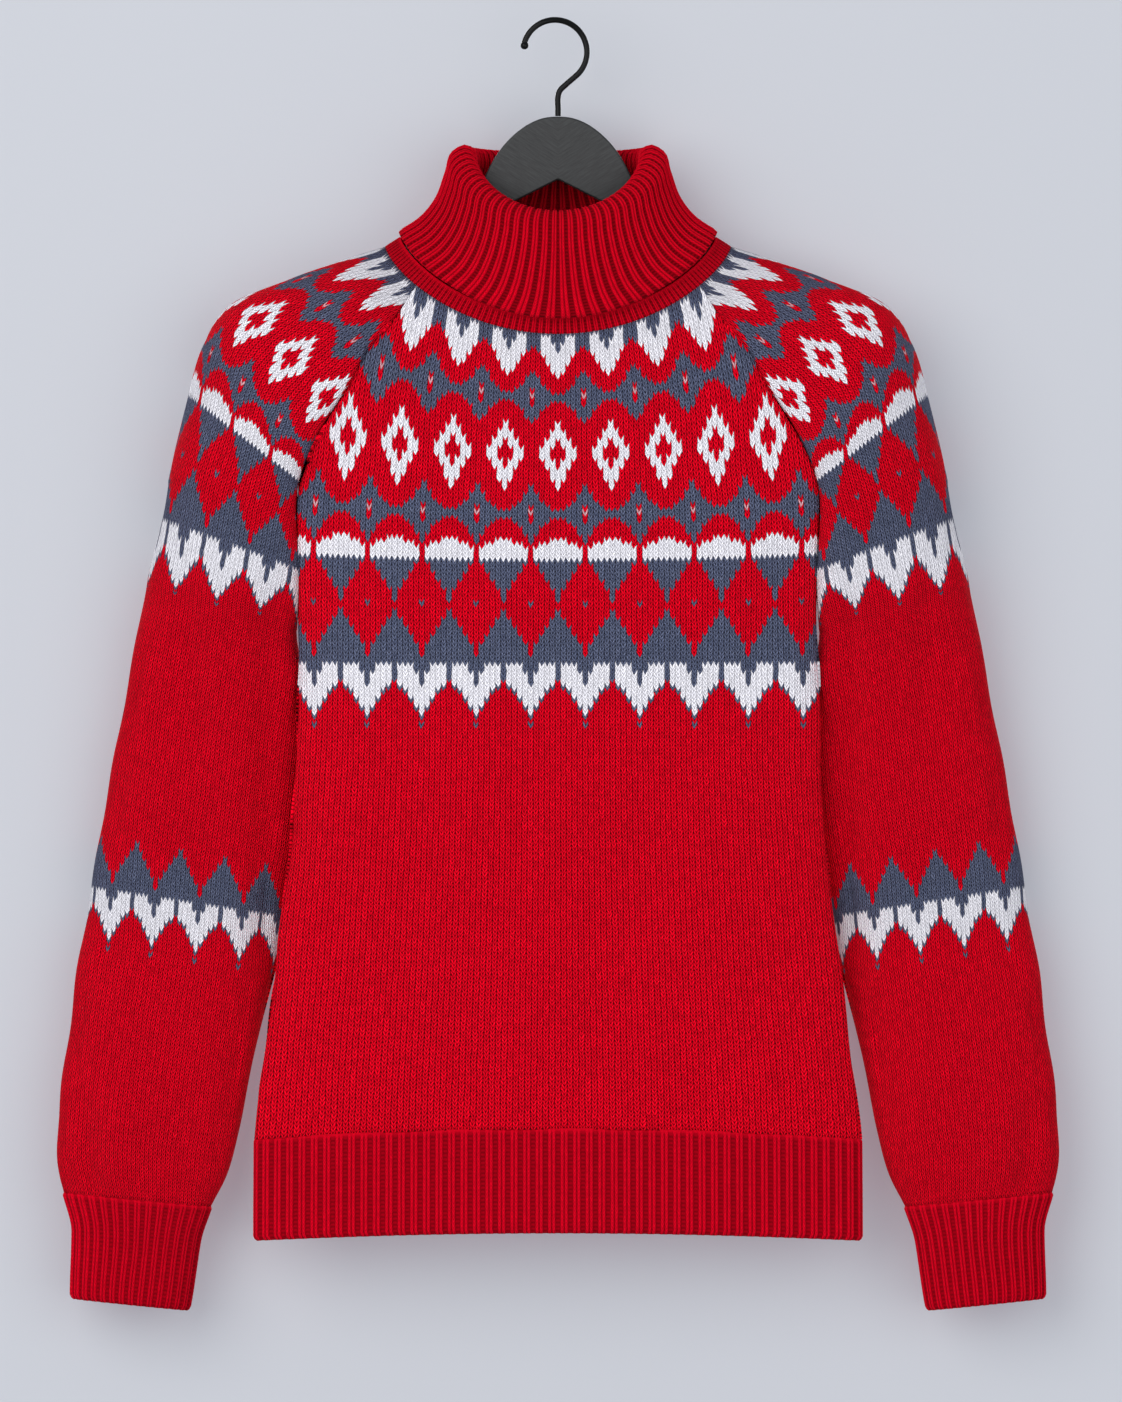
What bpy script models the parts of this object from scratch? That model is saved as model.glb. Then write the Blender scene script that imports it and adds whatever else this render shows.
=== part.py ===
"""Fair Isle roll-neck jumper hanging on a wooden clothes hanger.

The knitted pieces are thin walls: two panels, two raglan sleeves, a ribbed
hem, two ribbed cuffs, a neckband and a rolled-over ribbed collar.  They hang
on a flat wooden bar with a round steel hook.

Frame: +Z up, the jumper's front faces -Y, the wearer's left is +X.  The
origin is the inside top of the hook.  The tables are in millimetres, and a
"drop" is a distance below the origin.
"""
import math
from collections import Counter, defaultdict, namedtuple

import bmesh
import bpy
from mathutils import Vector

MM = 0.001

# ---------------------------------------------------------------- main sizes
KNIT = 2.5                # thickness of the plain knitting
RIB_KNIT = 2.2            # thickness of the ribbing under its ribs
RIB_RAISED = 1.0          # height of a rib above its groove
SEAM_GAP = 0.34           # clearance between two pieces at a seam

PANEL_CELLS = 18          # columns of faces across a panel
SLEEVE_CELLS = 9          # columns of faces on each half of a sleeve
HEM_RIBS = 50             # on the front, and again on the back
CUFF_RIBS = 30            # round each cuff
COLLAR_RIBS = 66          # round the collar

FRONT_CURVE = 2.5         # exponent of the front's cross-section
BACK_CURVE = 2.0          # the back is rounder, where the sleeves tuck in
RIDGE_CURVE = 2.2         # exponent of the fold along a sleeve's top
TUBE_CURVE = 2.4          # exponent of a sleeve's cross-section

BAR_THICK = 11.0          # wooden bar, front to back
BAR_EDGE = 1.6            # its rounded edges
BAR_BELOW_RIDGE = 3.2     # top edge under the outside of the shoulder fold
WIRE = 3.9                # hook wire, diameter
HOOK_RADIUS = 20.8        # centre line of the hook's bow
HOOK_SHIFT = -2.0         # the bow's centre, off the stem
BALL = 5.4                # bead at the hook's tip, diameter

RED = (0.50, 0.004, 0.018)
SLATE_WOOD = (0.042, 0.045, 0.050)
STEEL = (0.020, 0.021, 0.022)

# A ring round the neck: half width at the shoulders and drop there, then how
# far it stands in front (y) and behind, with the drops there.  "round" is the
# exponent in plan, and "dip" shapes the fall from shoulder to centre.
Ring = namedtuple("Ring", "side_x side_drop front_y front_drop"
                          " back_y back_drop round dip")
NECK_EDGE = Ring(112.5, 145.6, -34.0, 203.0, 30.0, 160.0, 2.6, 1.45)
BAND_TOP = Ring(102.5, 139.2, -34.6, 191.3, 30.4, 148.8, 2.6, 1.45)
COLLAR = [  # the ribbed face: up inside the neck, over the fold, down outside
    Ring(100.4, 141.2, -31.8, 190.4, 27.6, 147.9, 2.6, 1.45),
    Ring(71.0, 120.5, -33.0, 153.0, 28.0, 118.0, 2.5, 1.25),
    Ring(58.5, 104.0, -34.2, 138.0, 28.5, 102.0, 2.4, 1.10),
    Ring(55.5, 92.0, -35.5, 129.5, 29.2, 91.5, 2.3, 1.00),
    Ring(58.0, 83.4, -38.5, 124.6, 32.2, 83.8, 2.3, 1.00),
    Ring(64.5, 80.6, -43.5, 123.8, 37.0, 81.9, 2.3, 1.05),
    Ring(70.3, 86.0, -47.6, 128.5, 41.0, 87.5, 2.3, 1.10),
    Ring(72.4, 99.0, -48.6, 143.0, 42.0, 100.0, 2.3, 1.20),
    Ring(79.2, 114.5, -46.5, 163.0, 41.0, 120.0, 2.4, 1.35),
    Ring(89.6, 127.2, -43.4, 180.0, 39.4, 137.0, 2.5, 1.45),
    Ring(103.6, 136.4, -41.2, 193.0, 37.8, 151.0, 2.6, 1.55),
]
RAGLAN_X = 92.3           # where the raglan seams meet the neck edge

# A course of knitting across a panel: the half width at its ends with the
# drop and y there, how much higher the ends are than the middle, the y of the
# middle, and the exponent that rounds the panel off towards its ends.
Course = namedtuple("Course", "end_x end_drop end_y rise mid_y edge")
FRONT = [
    Course(106.6, 193.7, -29.0, 27.0, -36.5, 0.90),
    Course(123.9, 213.2, -32.5, 26.6, -38.5, 0.85),
    Course(135.2, 235.3, -34.0, 20.8, -40.0, 0.80),
    Course(148.7, 257.4, -33.5, 16.3, -41.0, 0.70),
    Course(160.5, 278.2, -30.5, 13.0, -42.0, 0.60),
    Course(168.6, 301.0, -25.5, 8.8, -42.0, 0.50),
    Course(169.2, 330.2, -18.0, 5.2, -42.0, 0.45),
    Course(169.2, 356.2, -12.0, 3.2, -42.0, 0.42),
    Course(169.2, 379.0, -8.0, 2.0, -42.0, 0.40),    # underarm
    Course(169.4, 408.2, -8.0, 1.0, -41.5, 0.40),
    Course(169.6, 440.7, -8.0, 0.0, -41.0, 0.40),
    Course(170.6, 479.7, -8.0, 0.0, -40.0, 0.40),
    Course(174.2, 525.2, -7.6, 0.0, -39.0, 0.40),
    Course(178.8, 570.7, -7.2, 0.0, -37.5, 0.40),
    Course(183.9, 616.2, -6.8, -1.0, -36.0, 0.40),
    Course(190.0, 661.7, -6.4, -3.0, -34.0, 0.40),
    Course(194.5, 694.2, -6.2, -5.0, -32.5, 0.40),
    Course(197.3, 726.7, -6.0, -7.0, -31.0, 0.40),   # top of the hem rib
]
BACK = [
    Course(104.0, 171.0, 26.0, 7.0, 33.0, 0.90),
    Course(120.0, 192.4, 29.0, 6.5, 35.0, 0.85),
    Course(133.5, 214.5, 31.0, 6.0, 35.5, 0.80),
    Course(147.0, 239.2, 31.0, 5.5, 35.0, 0.70),
    Course(158.5, 263.9, 30.0, 5.0, 34.0, 0.62),
    Course(168.0, 291.2, 26.0, 4.5, 33.0, 0.55),
    Course(169.2, 323.7, 16.0, 4.0, 32.0, 0.50),
    Course(169.2, 353.0, 4.0, 3.0, 31.0, 0.50),
    Course(169.2, 379.0, -8.0, 2.0, 30.0, 0.50),     # underarm
    Course(169.4, 408.2, -8.0, 1.0, 29.5, 0.50),
    Course(169.6, 440.7, -8.0, 0.0, 29.0, 0.50),
    Course(170.6, 479.7, -8.0, 0.0, 28.5, 0.50),
    Course(174.2, 525.2, -7.6, 0.0, 28.0, 0.50),
    Course(178.8, 570.7, -7.2, 0.0, 27.0, 0.50),
    Course(183.9, 616.2, -6.8, -1.0, 26.0, 0.50),
    Course(190.0, 661.7, -6.4, -3.0, 24.5, 0.50),
    Course(194.5, 694.2, -6.2, -5.0, 23.0, 0.50),
    Course(197.3, 726.7, -6.0, -7.0, 22.0, 0.50),    # top of the hem rib
]
HEM_FRONT = [
    Course(197.3, 727.4, -6.0, -7.0, -31.0, 0.40),
    Course(197.6, 789.4, -6.0, -5.2, -28.5, 0.40),
    Course(195.8, 792.4, -6.0, -5.2, -27.0, 0.40),
]
HEM_BACK = [
    Course(197.3, 727.4, -6.0, -7.0, 22.0, 0.50),
    Course(197.6, 789.4, -6.0, -5.2, 20.0, 0.50),
    Course(195.8, 792.4, -6.0, -5.2, 18.6, 0.50),
]

# The fold along the top of a sleeve, one row for each course above the
# underarm: where it lies, and how far the two halves swell beside it.
Ridge = namedtuple("Ridge", "x drop y swell_front swell_back")
RIDGE = [
    Ridge(142.8, 155.4, 0.0, 2.0, 2.0),
    Ridge(163.5, 162.5, 0.0, 4.0, 4.0),
    Ridge(188.5, 172.9, 0.5, 7.0, 7.0),
    Ridge(214.5, 185.9, 2.0, 10.0, 10.0),
    Ridge(230.8, 209.3, 4.0, 13.0, 13.5),
    Ridge(241.2, 246.4, 7.0, 16.0, 18.5),
    Ridge(252.2, 288.6, 10.0, 19.0, 25.0),
    Ridge(258.7, 323.1, 12.5, 20.0, 32.0),
    Ridge(265.9, 353.6, 14.5, 20.0, 38.0),
]
# A closed ring of the arm: its outer edge, its inner edge, their y, and its
# half depth.
Arm = namedtuple("Arm", "out_x out_drop in_x in_drop in_y out_y half_depth")
ARM = [
    Arm(269.8, 375.7, 171.6, 402.5, 7.0, 15.0, 28.5),
    Arm(276.3, 408.2, 162.5, 436.2, 17.0, 16.0, 28.0),
    Arm(282.8, 440.7, 163.8, 468.0, 18.0, 17.0, 27.0),
    Arm(291.5, 489.5, 167.7, 513.5, 18.0, 18.0, 26.0),
    Arm(300.3, 538.2, 174.2, 559.0, 18.0, 18.0, 25.0),
    Arm(309.4, 596.7, 184.0, 614.3, 17.0, 17.0, 25.0),
    Arm(318.5, 655.2, 198.6, 670.8, 15.0, 15.0, 25.0),
    Arm(325.0, 707.2, 207.7, 720.9, 13.0, 13.0, 25.0),
    Arm(326.3, 738.4, 215.8, 751.4, 12.0, 12.0, 24.0),
    Arm(321.8, 761.8, 226.2, 770.9, 10.0, 10.0, 20.0),
]
CUFF = [
    Arm(321.8, 762.5, 226.2, 771.6, 10.0, 10.0, 19.6),
    Arm(315.9, 786.5, 233.4, 793.0, 9.0, 9.0, 17.0),
    Arm(317.0, 827.4, 240.0, 835.2, 8.0, 8.0, 16.0),
    Arm(315.4, 830.7, 241.6, 838.2, 8.0, 8.0, 14.6),
]

# Half of the wooden bar: its top edge from the middle out to the neck edge,
# and its underside from the tip back to the middle.
BAR_TOP = [(0.0, 61.1), (9.0, 61.9), (18.0, 65.3), (25.5, 70.2), (32.0, 76.0),
           (37.3, 82.2), (43.5, 91.8), (48.6, 101.4), (55.0, 110.5),
           (64.0, 120.2), (76.0, 130.4), (92.0, 140.8), (112.0, 150.8)]
BAR_TIP = [(203.6, 186.6), (206.0, 190.5), (205.0, 194.6), (201.0, 196.4)]
BAR_UNDER = [(160.0, 180.5), (112.0, 163.5), (88.0, 151.0), (60.0, 133.6),
             (30.0, 117.2), (0.0, 102.0)]


# ------------------------------------------------------------------- helpers
def at(x, y, drop):
    """A point in metres from millimetres and a drop."""
    return Vector((x * MM, y * MM, -drop * MM))


def power(base, exponent):
    return max(base, 0.0) ** exponent


def ring_point(ring, angle):
    """Point on a neck ring; angle 0 is the front, 90 degrees is +X."""
    e = 2.0 / ring.round
    s, c = math.sin(angle), math.cos(angle)
    x = ring.side_x * math.copysign(power(abs(s), e), s)
    deep, fall = ((ring.front_y, ring.front_drop) if c >= 0.0
                  else (ring.back_y, ring.back_drop))
    y = deep * power(abs(c), e)
    fall -= ring.side_drop
    low = power(1.0 - (x / ring.side_x) ** 2, ring.dip / 2.0)
    return at(x, y, ring.side_drop + fall * low)


def raglan_angle():
    """Angle on the neck edge at which the raglan seam ends."""
    share = RAGLAN_X / NECK_EDGE.side_x
    return math.asin(share ** (NECK_EDGE.round / 2.0))


def course_point(course, s, curve):
    """Point on a panel's course; s runs from -1 to 1 across it."""
    swell = power(1.0 - abs(s) ** curve, course.edge)
    y = course.end_y + (course.mid_y - course.end_y) * swell
    drop = course.end_drop + course.rise * (1.0 - s * s)
    return at(course.end_x * s, y, drop)


def arm_curve(inner, outer, swell, u, closed):
    """Half a sleeve ring, from the inner point (u 0) to the outer (u 1)."""
    c = ((1.0 - closed) * math.sin(math.pi * u / 2.0)
         + closed * (1.0 - math.cos(math.pi * u)) / 2.0)
    fold = power(1.0 - c ** RIDGE_CURVE, 1.0 / RIDGE_CURVE)
    tube = power(1.0 - abs(2.0 * c - 1.0) ** TUBE_CURVE, 1.0 / TUBE_CURVE)
    point = inner.lerp(outer, c)
    point.y = outer.y + (inner.y - outer.y) * fold + swell * MM * tube
    return point


def arm_point(arm, u):
    """Point on a closed arm ring: u 0 inner, 1 outer, 2 inner again."""
    inner = at(arm.in_x, arm.in_y, arm.in_drop)
    outer = at(arm.out_x, arm.out_y, arm.out_drop)
    if u <= 1.0:
        return arm_curve(inner, outer, -arm.half_depth, u, 1.0)
    return arm_curve(inner, outer, arm.half_depth, 2.0 - u, 1.0)


def even_steps(curve, low, high, count, closed):
    """Parameters that divide a curve into steps of equal length."""
    fine = 600
    params = [low + (high - low) * i / fine for i in range(fine + 1)]
    points = [curve(p) for p in params]
    run = [0.0]
    for a, b in zip(points, points[1:]):
        run.append(run[-1] + (b - a).length)
    steps, i = [], 0
    for k in range(count if closed else count + 1):
        goal = run[-1] * k / count
        while i < fine - 1 and run[i + 1] < goal:
            i += 1
        part = (goal - run[i]) / max(run[i + 1] - run[i], 1e-12)
        steps.append(params[i] + (params[i + 1] - params[i]) * min(part, 1.0))
    return steps


def key(point):
    return tuple(round(v, 6) for v in point)


def mirrored(grid):
    """The same piece on the other side, its columns still left to right."""
    return [[Vector((-p.x, p.y, p.z)) for p in reversed(row)] for row in grid]


def add_object(name, verts, faces, material, collection, smooth=40.0):
    mesh = bpy.data.meshes.new(name)
    mesh.from_pydata([tuple(v) for v in verts], [], faces)
    tidy = bmesh.new()
    tidy.from_mesh(mesh)
    bmesh.ops.recalc_face_normals(tidy, faces=tidy.faces)
    tidy.to_mesh(mesh)
    tidy.free()
    mesh.materials.append(material)
    mesh.shade_smooth()
    mesh.set_sharp_from_angle(angle=math.radians(smooth))
    obj = bpy.data.objects.new(name, mesh)
    collection.objects.link(obj)
    return obj


def make_material(name, colour, roughness):
    material = bpy.data.materials.new(name)
    material.use_nodes = True
    shader = material.node_tree.nodes["Principled BSDF"]
    shader.inputs["Base Color"].default_value = (*colour, 1.0)
    shader.inputs["Roughness"].default_value = roughness
    material.diffuse_color = (*colour, 1.0)
    return material


# ------------------------------------------------------- plain knitted walls
def panel_grid(courses, curve, front):
    """Outer points of a panel, from the neck edge down, left to right."""
    reach = raglan_angle()
    steps = [-1.0 + 2.0 * i / PANEL_CELLS for i in range(PANEL_CELLS + 1)]
    if front:
        top = [ring_point(NECK_EDGE, reach * t) for t in steps]
    else:
        top = [ring_point(NECK_EDGE, math.pi + reach * t) for t in steps]
    side = 1.0 if front else -1.0
    across = [side * math.sin(math.pi / 2.0 * t) for t in steps]
    return [top] + [[course_point(c, s, curve) for s in across]
                    for c in courses]


def sleeve_grid():
    """Outer points of the +X sleeve, from the front seam round to the back."""
    halves = [i / SLEEVE_CELLS for i in range(SLEEVE_CELLS + 1)]
    start = raglan_angle()
    sweep = [start + (math.pi / 2.0 - start) * u for u in halves]
    sweep += [math.pi - a for a in reversed(sweep[:-1])]
    grid = [[ring_point(NECK_EDGE, a) for a in sweep]]
    for i, ridge in enumerate(RIDGE):
        top = at(ridge.x, ridge.y, ridge.drop)
        front = course_point(FRONT[i], 1.0, FRONT_CURVE)
        back = course_point(BACK[i], 1.0, BACK_CURVE)
        closed = (i + 1.0) / len(RIDGE)
        row = [arm_curve(front, top, -ridge.swell_front, u, closed)
               for u in halves]
        row += [arm_curve(back, top, ridge.swell_back, u, closed)
                for u in reversed(halves[:-1])]
        grid.append(row)
    for arm in ARM:
        grid.append([arm_point(arm, u) for u in halves[:-1]]
                    + [arm_point(arm, 1.0 + u) for u in halves])
    return grid


def shared_outward(grids):
    """Outward direction at each outer point, shared by pieces at a seam."""
    outward = defaultdict(Vector)
    for grid in grids:
        for upper, lower in zip(grid, grid[1:]):
            for c in range(len(upper) - 1):
                a, b, d, e = upper[c], lower[c], lower[c + 1], upper[c + 1]
                face = (d - a).cross(e - b)
                for p in (a, b, d, e):
                    outward[key(p)] += face
    return {k: v.normalized() for k, v in outward.items()}


def towards(point, other):
    return (other - point).normalized() * (SEAM_GAP / 2.0 * MM)


def sewn_wall(name, grid, outward, material, collection):
    """A wall of even thickness, drawn back a little from its seams."""
    rows, cols = len(grid), len(grid[0])
    outer_ids, verts = {}, []
    index = [[0] * cols for _ in range(rows)]
    for r in range(rows):
        tube = key(grid[r][0]) == key(grid[r][-1])
        tube_above = r > 0 and key(grid[r - 1][0]) == key(grid[r - 1][-1])
        for c in range(cols):
            p = grid[r][c]
            shift = Vector()
            if c in (0, cols - 1):
                beside = grid[r][1] if c == 0 else grid[r][-2]
                if not tube:
                    shift += towards(p, beside)
                elif not tube_above:
                    shift += 2.0 * towards(p, grid[r + 1][c])
            if r == 0:
                shift += towards(p, grid[1][c])
            elif r == rows - 1:
                shift += towards(p, grid[r - 1][c])
            q = p + shift
            if key(q) not in outer_ids:
                outer_ids[key(q)] = len(verts)
                verts.append((q, q - outward[key(p)] * KNIT * MM))
            index[r][c] = outer_ids[key(q)]
    count = len(verts)
    faces = []
    for r in range(rows - 1):
        for c in range(cols - 1):
            ring = (index[r][c], index[r + 1][c],
                    index[r + 1][c + 1], index[r][c + 1])
            faces.append(ring)
    borders = Counter()
    for face in faces:
        for a, b in zip(face, face[1:] + face[:1]):
            borders[(a, b)] += 1
    rims = [(b, a, a + count, b + count) for a, b in borders
            if (b, a) not in borders]
    inner = [tuple(count + v for v in reversed(face)) for face in faces]
    points = [v[0] for v in verts] + [v[1] for v in verts]
    return add_object(name, points, faces + inner + rims, material, collection)


# ------------------------------------------------------------- ribbed walls
def grid_outward(grid, closed):
    """Smooth outward directions of a grid, row by row."""
    rows, cols = len(grid), len(grid[0])
    result = []
    for r in range(rows):
        above, below = grid[max(r - 1, 0)], grid[min(r + 1, rows - 1)]
        line = []
        for c in range(cols):
            if closed:
                before, after = grid[r][c - 1], grid[r][(c + 1) % cols]
            else:
                before = grid[r][max(c - 1, 0)]
                after = grid[r][min(c + 1, cols - 1)]
            line.append((below[c] - above[c]).cross(after - before)
                        .normalized())
        if not closed:      # at a side seam both pieces face straight out
            for c in (0, cols - 1):
                line[c] = Vector((math.copysign(1.0, grid[r][c].x), 0.0, 0.0))
        result.append(line)
    return result


def ribbed_wall(name, grid, closed, material, collection):
    """A wall with a rib at every second outer point over a plain inside."""
    outward = grid_outward(grid, closed)
    rows, cols = len(grid), len(grid[0])
    ribs = cols // 2
    lines = ribs if closed else ribs + 1
    verts = []
    for r in range(rows):
        for c in range(cols):
            lift = RIB_RAISED * MM if c % 2 == 1 else 0.0
            verts.append(grid[r][c] + outward[r][c] * lift)
    start = len(verts)
    for r in range(rows):
        for i in range(lines):
            c = 2 * i
            verts.append(grid[r][c] - outward[r][c] * RIB_KNIT * MM)

    def out(r, c):
        return r * cols + c % cols

    def inn(r, i):
        return start + r * lines + i % lines

    faces = []
    for r in range(rows - 1):
        for c in range(cols if closed else cols - 1):
            faces.append((out(r, c), out(r + 1, c),
                          out(r + 1, c + 1), out(r, c + 1)))
        for i in range(ribs):
            faces.append((inn(r, i), inn(r, i + 1),
                          inn(r + 1, i + 1), inn(r + 1, i)))
        if not closed:
            faces.append((out(r, 0), inn(r, 0), inn(r + 1, 0),
                          out(r + 1, 0)))
            faces.append((out(r, cols - 1), out(r + 1, cols - 1),
                          inn(r + 1, ribs), inn(r, ribs)))
    for r in (0, rows - 1):
        for i in range(ribs):
            a, b, d = out(r, 2 * i), out(r, 2 * i + 1), out(r, 2 * i + 2)
            e, f = inn(r, i + 1), inn(r, i)
            faces += [(a, b, f), (b, e, f), (b, d, e)]
    return add_object(name, verts, faces, material, collection, smooth=25.0)


def neck_grid(rings, ribs):
    """Rings round the neck, with their columns evenly spaced at the edge."""
    angles = even_steps(lambda a: ring_point(rings[-1], a),
                        0.0, 2.0 * math.pi, 2 * ribs, True)
    return [[ring_point(ring, a) for a in angles] for ring in rings]


def hem_grid(courses, curve, front):
    side = 1.0 if front else -1.0
    steps = even_steps(lambda s: course_point(courses[1], side * s, curve),
                       -1.0, 1.0, 2 * HEM_RIBS, False)
    grid = [[course_point(c, side * s, curve) for s in steps]
            for c in courses]
    for row in grid:
        row[0] += towards(row[0], row[1])
        row[-1] += towards(row[-1], row[-2])
    return grid


def cuff_grid():
    steps = even_steps(lambda u: arm_point(CUFF[1], u),
                       0.0, 2.0, 2 * CUFF_RIBS, True)
    return [[arm_point(arm, u) for u in steps] for arm in CUFF]


def between(low, high, share):
    """A neck ring that lies part of the way from one ring to another."""
    return Ring(*(a + (b - a) * share for a, b in zip(low, high)))


# ------------------------------------------------------------------- hanger
def bar_outline():
    """Half outline of the wooden bar, from its top middle round to below."""
    half = list(BAR_TOP)
    fold = [(r.x, r.drop) for r in RIDGE[:3]]
    for (x0, d0), (x1, d1) in zip(fold, fold[1:]):
        length = math.hypot(x1 - x0, d1 - d0)
        across = ((d0 - d1) / length, (x1 - x0) / length)
        middle = ((x0 + x1) / 2.0, (d0 + d1) / 2.0)
        half.append((middle[0] + across[0] * BAR_BELOW_RIDGE,
                     middle[1] + across[1] * BAR_BELOW_RIDGE))
    return half + BAR_TIP + BAR_UNDER


def wooden_bar(material, collection):
    half = bar_outline()
    outline = half + [(-x, d) for x, d in reversed(half[1:-1])]
    shape = bmesh.new()
    ring = [shape.verts.new(at(x, BAR_THICK / 2.0, d)) for x, d in outline]
    face = shape.faces.new(ring)
    pushed = bmesh.ops.extrude_face_region(shape, geom=[face])
    moved = [g for g in pushed["geom"] if isinstance(g, bmesh.types.BMVert)]
    bmesh.ops.translate(shape, verts=moved,
                        vec=Vector((0.0, -BAR_THICK * MM, 0.0)))
    bmesh.ops.recalc_face_normals(shape, faces=shape.faces)
    mesh = bpy.data.meshes.new("hanger_bar")
    shape.to_mesh(mesh)
    shape.free()
    mesh.materials.append(material)
    mesh.shade_smooth()
    mesh.set_sharp_from_angle(angle=math.radians(30.0))
    bar = bpy.data.objects.new("hanger_bar", mesh)
    collection.objects.link(bar)
    edges = bar.modifiers.new("rounded edges", 'BEVEL')
    edges.width = BAR_EDGE * MM
    edges.segments = 1
    edges.limit_method = 'ANGLE'
    edges.angle_limit = math.radians(50.0)
    return bar


def steel_hook(material, collection):
    """Bow, bend and stem of bent wire, with a bead at the open end."""
    centre_drop = HOOK_RADIUS - WIRE / 2.0
    bead = BALL / WIRE
    path = [(0.0, 60.7), (0.0, 55.0), (0.0, 48.0), (1.1, 44.2), (4.6, 40.6)]
    thick = [1.0] * len(path)
    for degrees in range(-54, 163, 12):
        a = math.radians(degrees)
        path.append((HOOK_SHIFT + HOOK_RADIUS * math.cos(a),
                     centre_drop - HOOK_RADIUS * math.sin(a)))
        thick.append(1.0)
    tip = path[-1]
    for step, size in ((0.6, 1.25), (1.6, bead), (2.8, 1.25), (3.7, 0.8),
                       (4.1, 0.3)):
        path.append((tip[0], tip[1] + step))
        thick.append(size)
    curve = bpy.data.curves.new("hanger_hook", 'CURVE')
    curve.dimensions = '3D'
    curve.bevel_depth = WIRE / 2.0 * MM
    curve.bevel_resolution = 2
    curve.use_fill_caps = True
    spline = curve.splines.new('POLY')
    spline.points.add(len(path) - 1)
    for point, (x, d), size in zip(spline.points, path, thick):
        point.co = (*at(x, 0.0, d), 1.0)
        point.radius = size
    curve.materials.append(material)
    hook = bpy.data.objects.new("hanger_hook", curve)
    collection.objects.link(hook)
    return hook


# -------------------------------------------------------------------- build
def build():
    for obj in list(bpy.data.objects):
        bpy.data.objects.remove(obj, do_unlink=True)
    collection = bpy.data.collections.new("fair_isle_jumper")
    bpy.context.scene.collection.children.link(collection)
    wool = make_material("red wool", RED, 0.9)
    wood = make_material("black stained wood", SLATE_WOOD, 0.5)
    steel = make_material("black lacquered steel", STEEL, 0.25)

    front = panel_grid(FRONT, FRONT_CURVE, True)
    back = panel_grid(BACK, BACK_CURVE, False)
    left = sleeve_grid()
    right = mirrored(left)
    outward = shared_outward((front, back, left, right))
    for name, grid in (("front_panel", front), ("back_panel", back),
                       ("sleeve_left", left), ("sleeve_right", right)):
        sewn_wall(name, grid, outward, wool, collection)

    band = [between(NECK_EDGE, BAND_TOP, share) for share in (0.96, 0.05)]
    ribbed_wall("neckband", neck_grid(band, COLLAR_RIBS), True, wool,
                collection)
    ribbed_wall("roll_collar", neck_grid(COLLAR, COLLAR_RIBS), True, wool,
                collection)
    ribbed_wall("hem_rib_front", hem_grid(HEM_FRONT, FRONT_CURVE, True),
                False, wool, collection)
    ribbed_wall("hem_rib_back", hem_grid(HEM_BACK, BACK_CURVE, False),
                False, wool, collection)
    cuff = cuff_grid()
    ribbed_wall("cuff_left", cuff, True, wool, collection)
    ribbed_wall("cuff_right", mirrored(cuff), True, wool, collection)

    wooden_bar(wood, collection)
    steel_hook(steel, collection)


build()
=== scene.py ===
"""Looks of the Fair Isle roll-neck jumper on its wooden hanger.

Every knitted piece is a thin wall on the form of its solid, with knitting
coordinates in its UV map: u counts stitches across and v counts courses down.
One shader turns them into stitches, and a chart gives each stitch its yarn.
Tables are in millimetres, and a "drop" is a distance below the hook's top.
"""

import math
from collections import namedtuple

import bpy
import bmesh
import numpy as np
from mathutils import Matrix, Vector


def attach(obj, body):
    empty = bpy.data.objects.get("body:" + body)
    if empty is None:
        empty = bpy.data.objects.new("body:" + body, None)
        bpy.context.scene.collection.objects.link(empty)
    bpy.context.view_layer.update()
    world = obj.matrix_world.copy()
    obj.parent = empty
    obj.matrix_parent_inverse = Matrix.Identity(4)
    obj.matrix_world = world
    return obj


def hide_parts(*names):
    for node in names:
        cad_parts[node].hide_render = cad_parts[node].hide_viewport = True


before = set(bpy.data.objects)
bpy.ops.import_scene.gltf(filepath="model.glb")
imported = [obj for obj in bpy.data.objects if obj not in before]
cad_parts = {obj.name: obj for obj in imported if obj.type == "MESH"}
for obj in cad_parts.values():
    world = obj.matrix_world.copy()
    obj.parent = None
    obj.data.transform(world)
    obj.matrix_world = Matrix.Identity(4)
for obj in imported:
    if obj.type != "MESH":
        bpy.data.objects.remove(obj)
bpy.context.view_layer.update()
MM = 0.001                # metres
PI = math.pi

# ---------------------------------------------------------------- main sizes
ROW, NECK_ROW = 2.70, 2.2         # one course, and one of collar and neckband
KNIT, RIB_KNIT = 2.3, 2.0         # thickness of plain knitting and of ribbing
RIB_RAISED, BAND_RAISED = 1.15, 0.25  # height of the ribs, and the neckband's
RIB_TUCK = 0.6                    # a rib's first row, under the cloth above
HEM_RIBS, CUFF_RIBS, COLLAR_RIBS, BAND_RIBS = 50, 30, 66, 150
REPEAT_STITCHES = 10              # in one repeat of the pattern
FRONT_CURVE, BACK_CURVE, RIDGE_CURVE, TUBE_CURVE = 2.5, 2.0, 2.2, 2.4
RAGLAN_X = 92.3
RIM_DEPTH, CLOSED_RIM_DEPTH, RIM_WIDE = 0.4, 0.1, 1.8  # edges roll in a little
CLOSED_COURSE = 88.0              # from here down a sleeve is a closed tube
EASE_COURSES = 6.0                # over which a piece's unevenness grows
CUFF_EASE_COURSES = 3.0           # over which it fades again above a cuff
PANEL_DEPTH = 0.4                 # weight of Y in a panel's stitch count
BAND_TALL = 12.0                  # the neckband
RIB_WIDEN = 0.3                   # of the neck's ribs, in front and behind
PANEL_CELLS, SLEEVE_CELLS = 116, 42
PANEL_ROWS, SLEEVE_ROWS, BAND_ROWS, COLLAR_ROWS = 150, 190, 9, 45
BAR_THICK, BAR_EDGE, BAR_BELOW_RIDGE = 11.0, 1.3, 3.2
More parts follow.
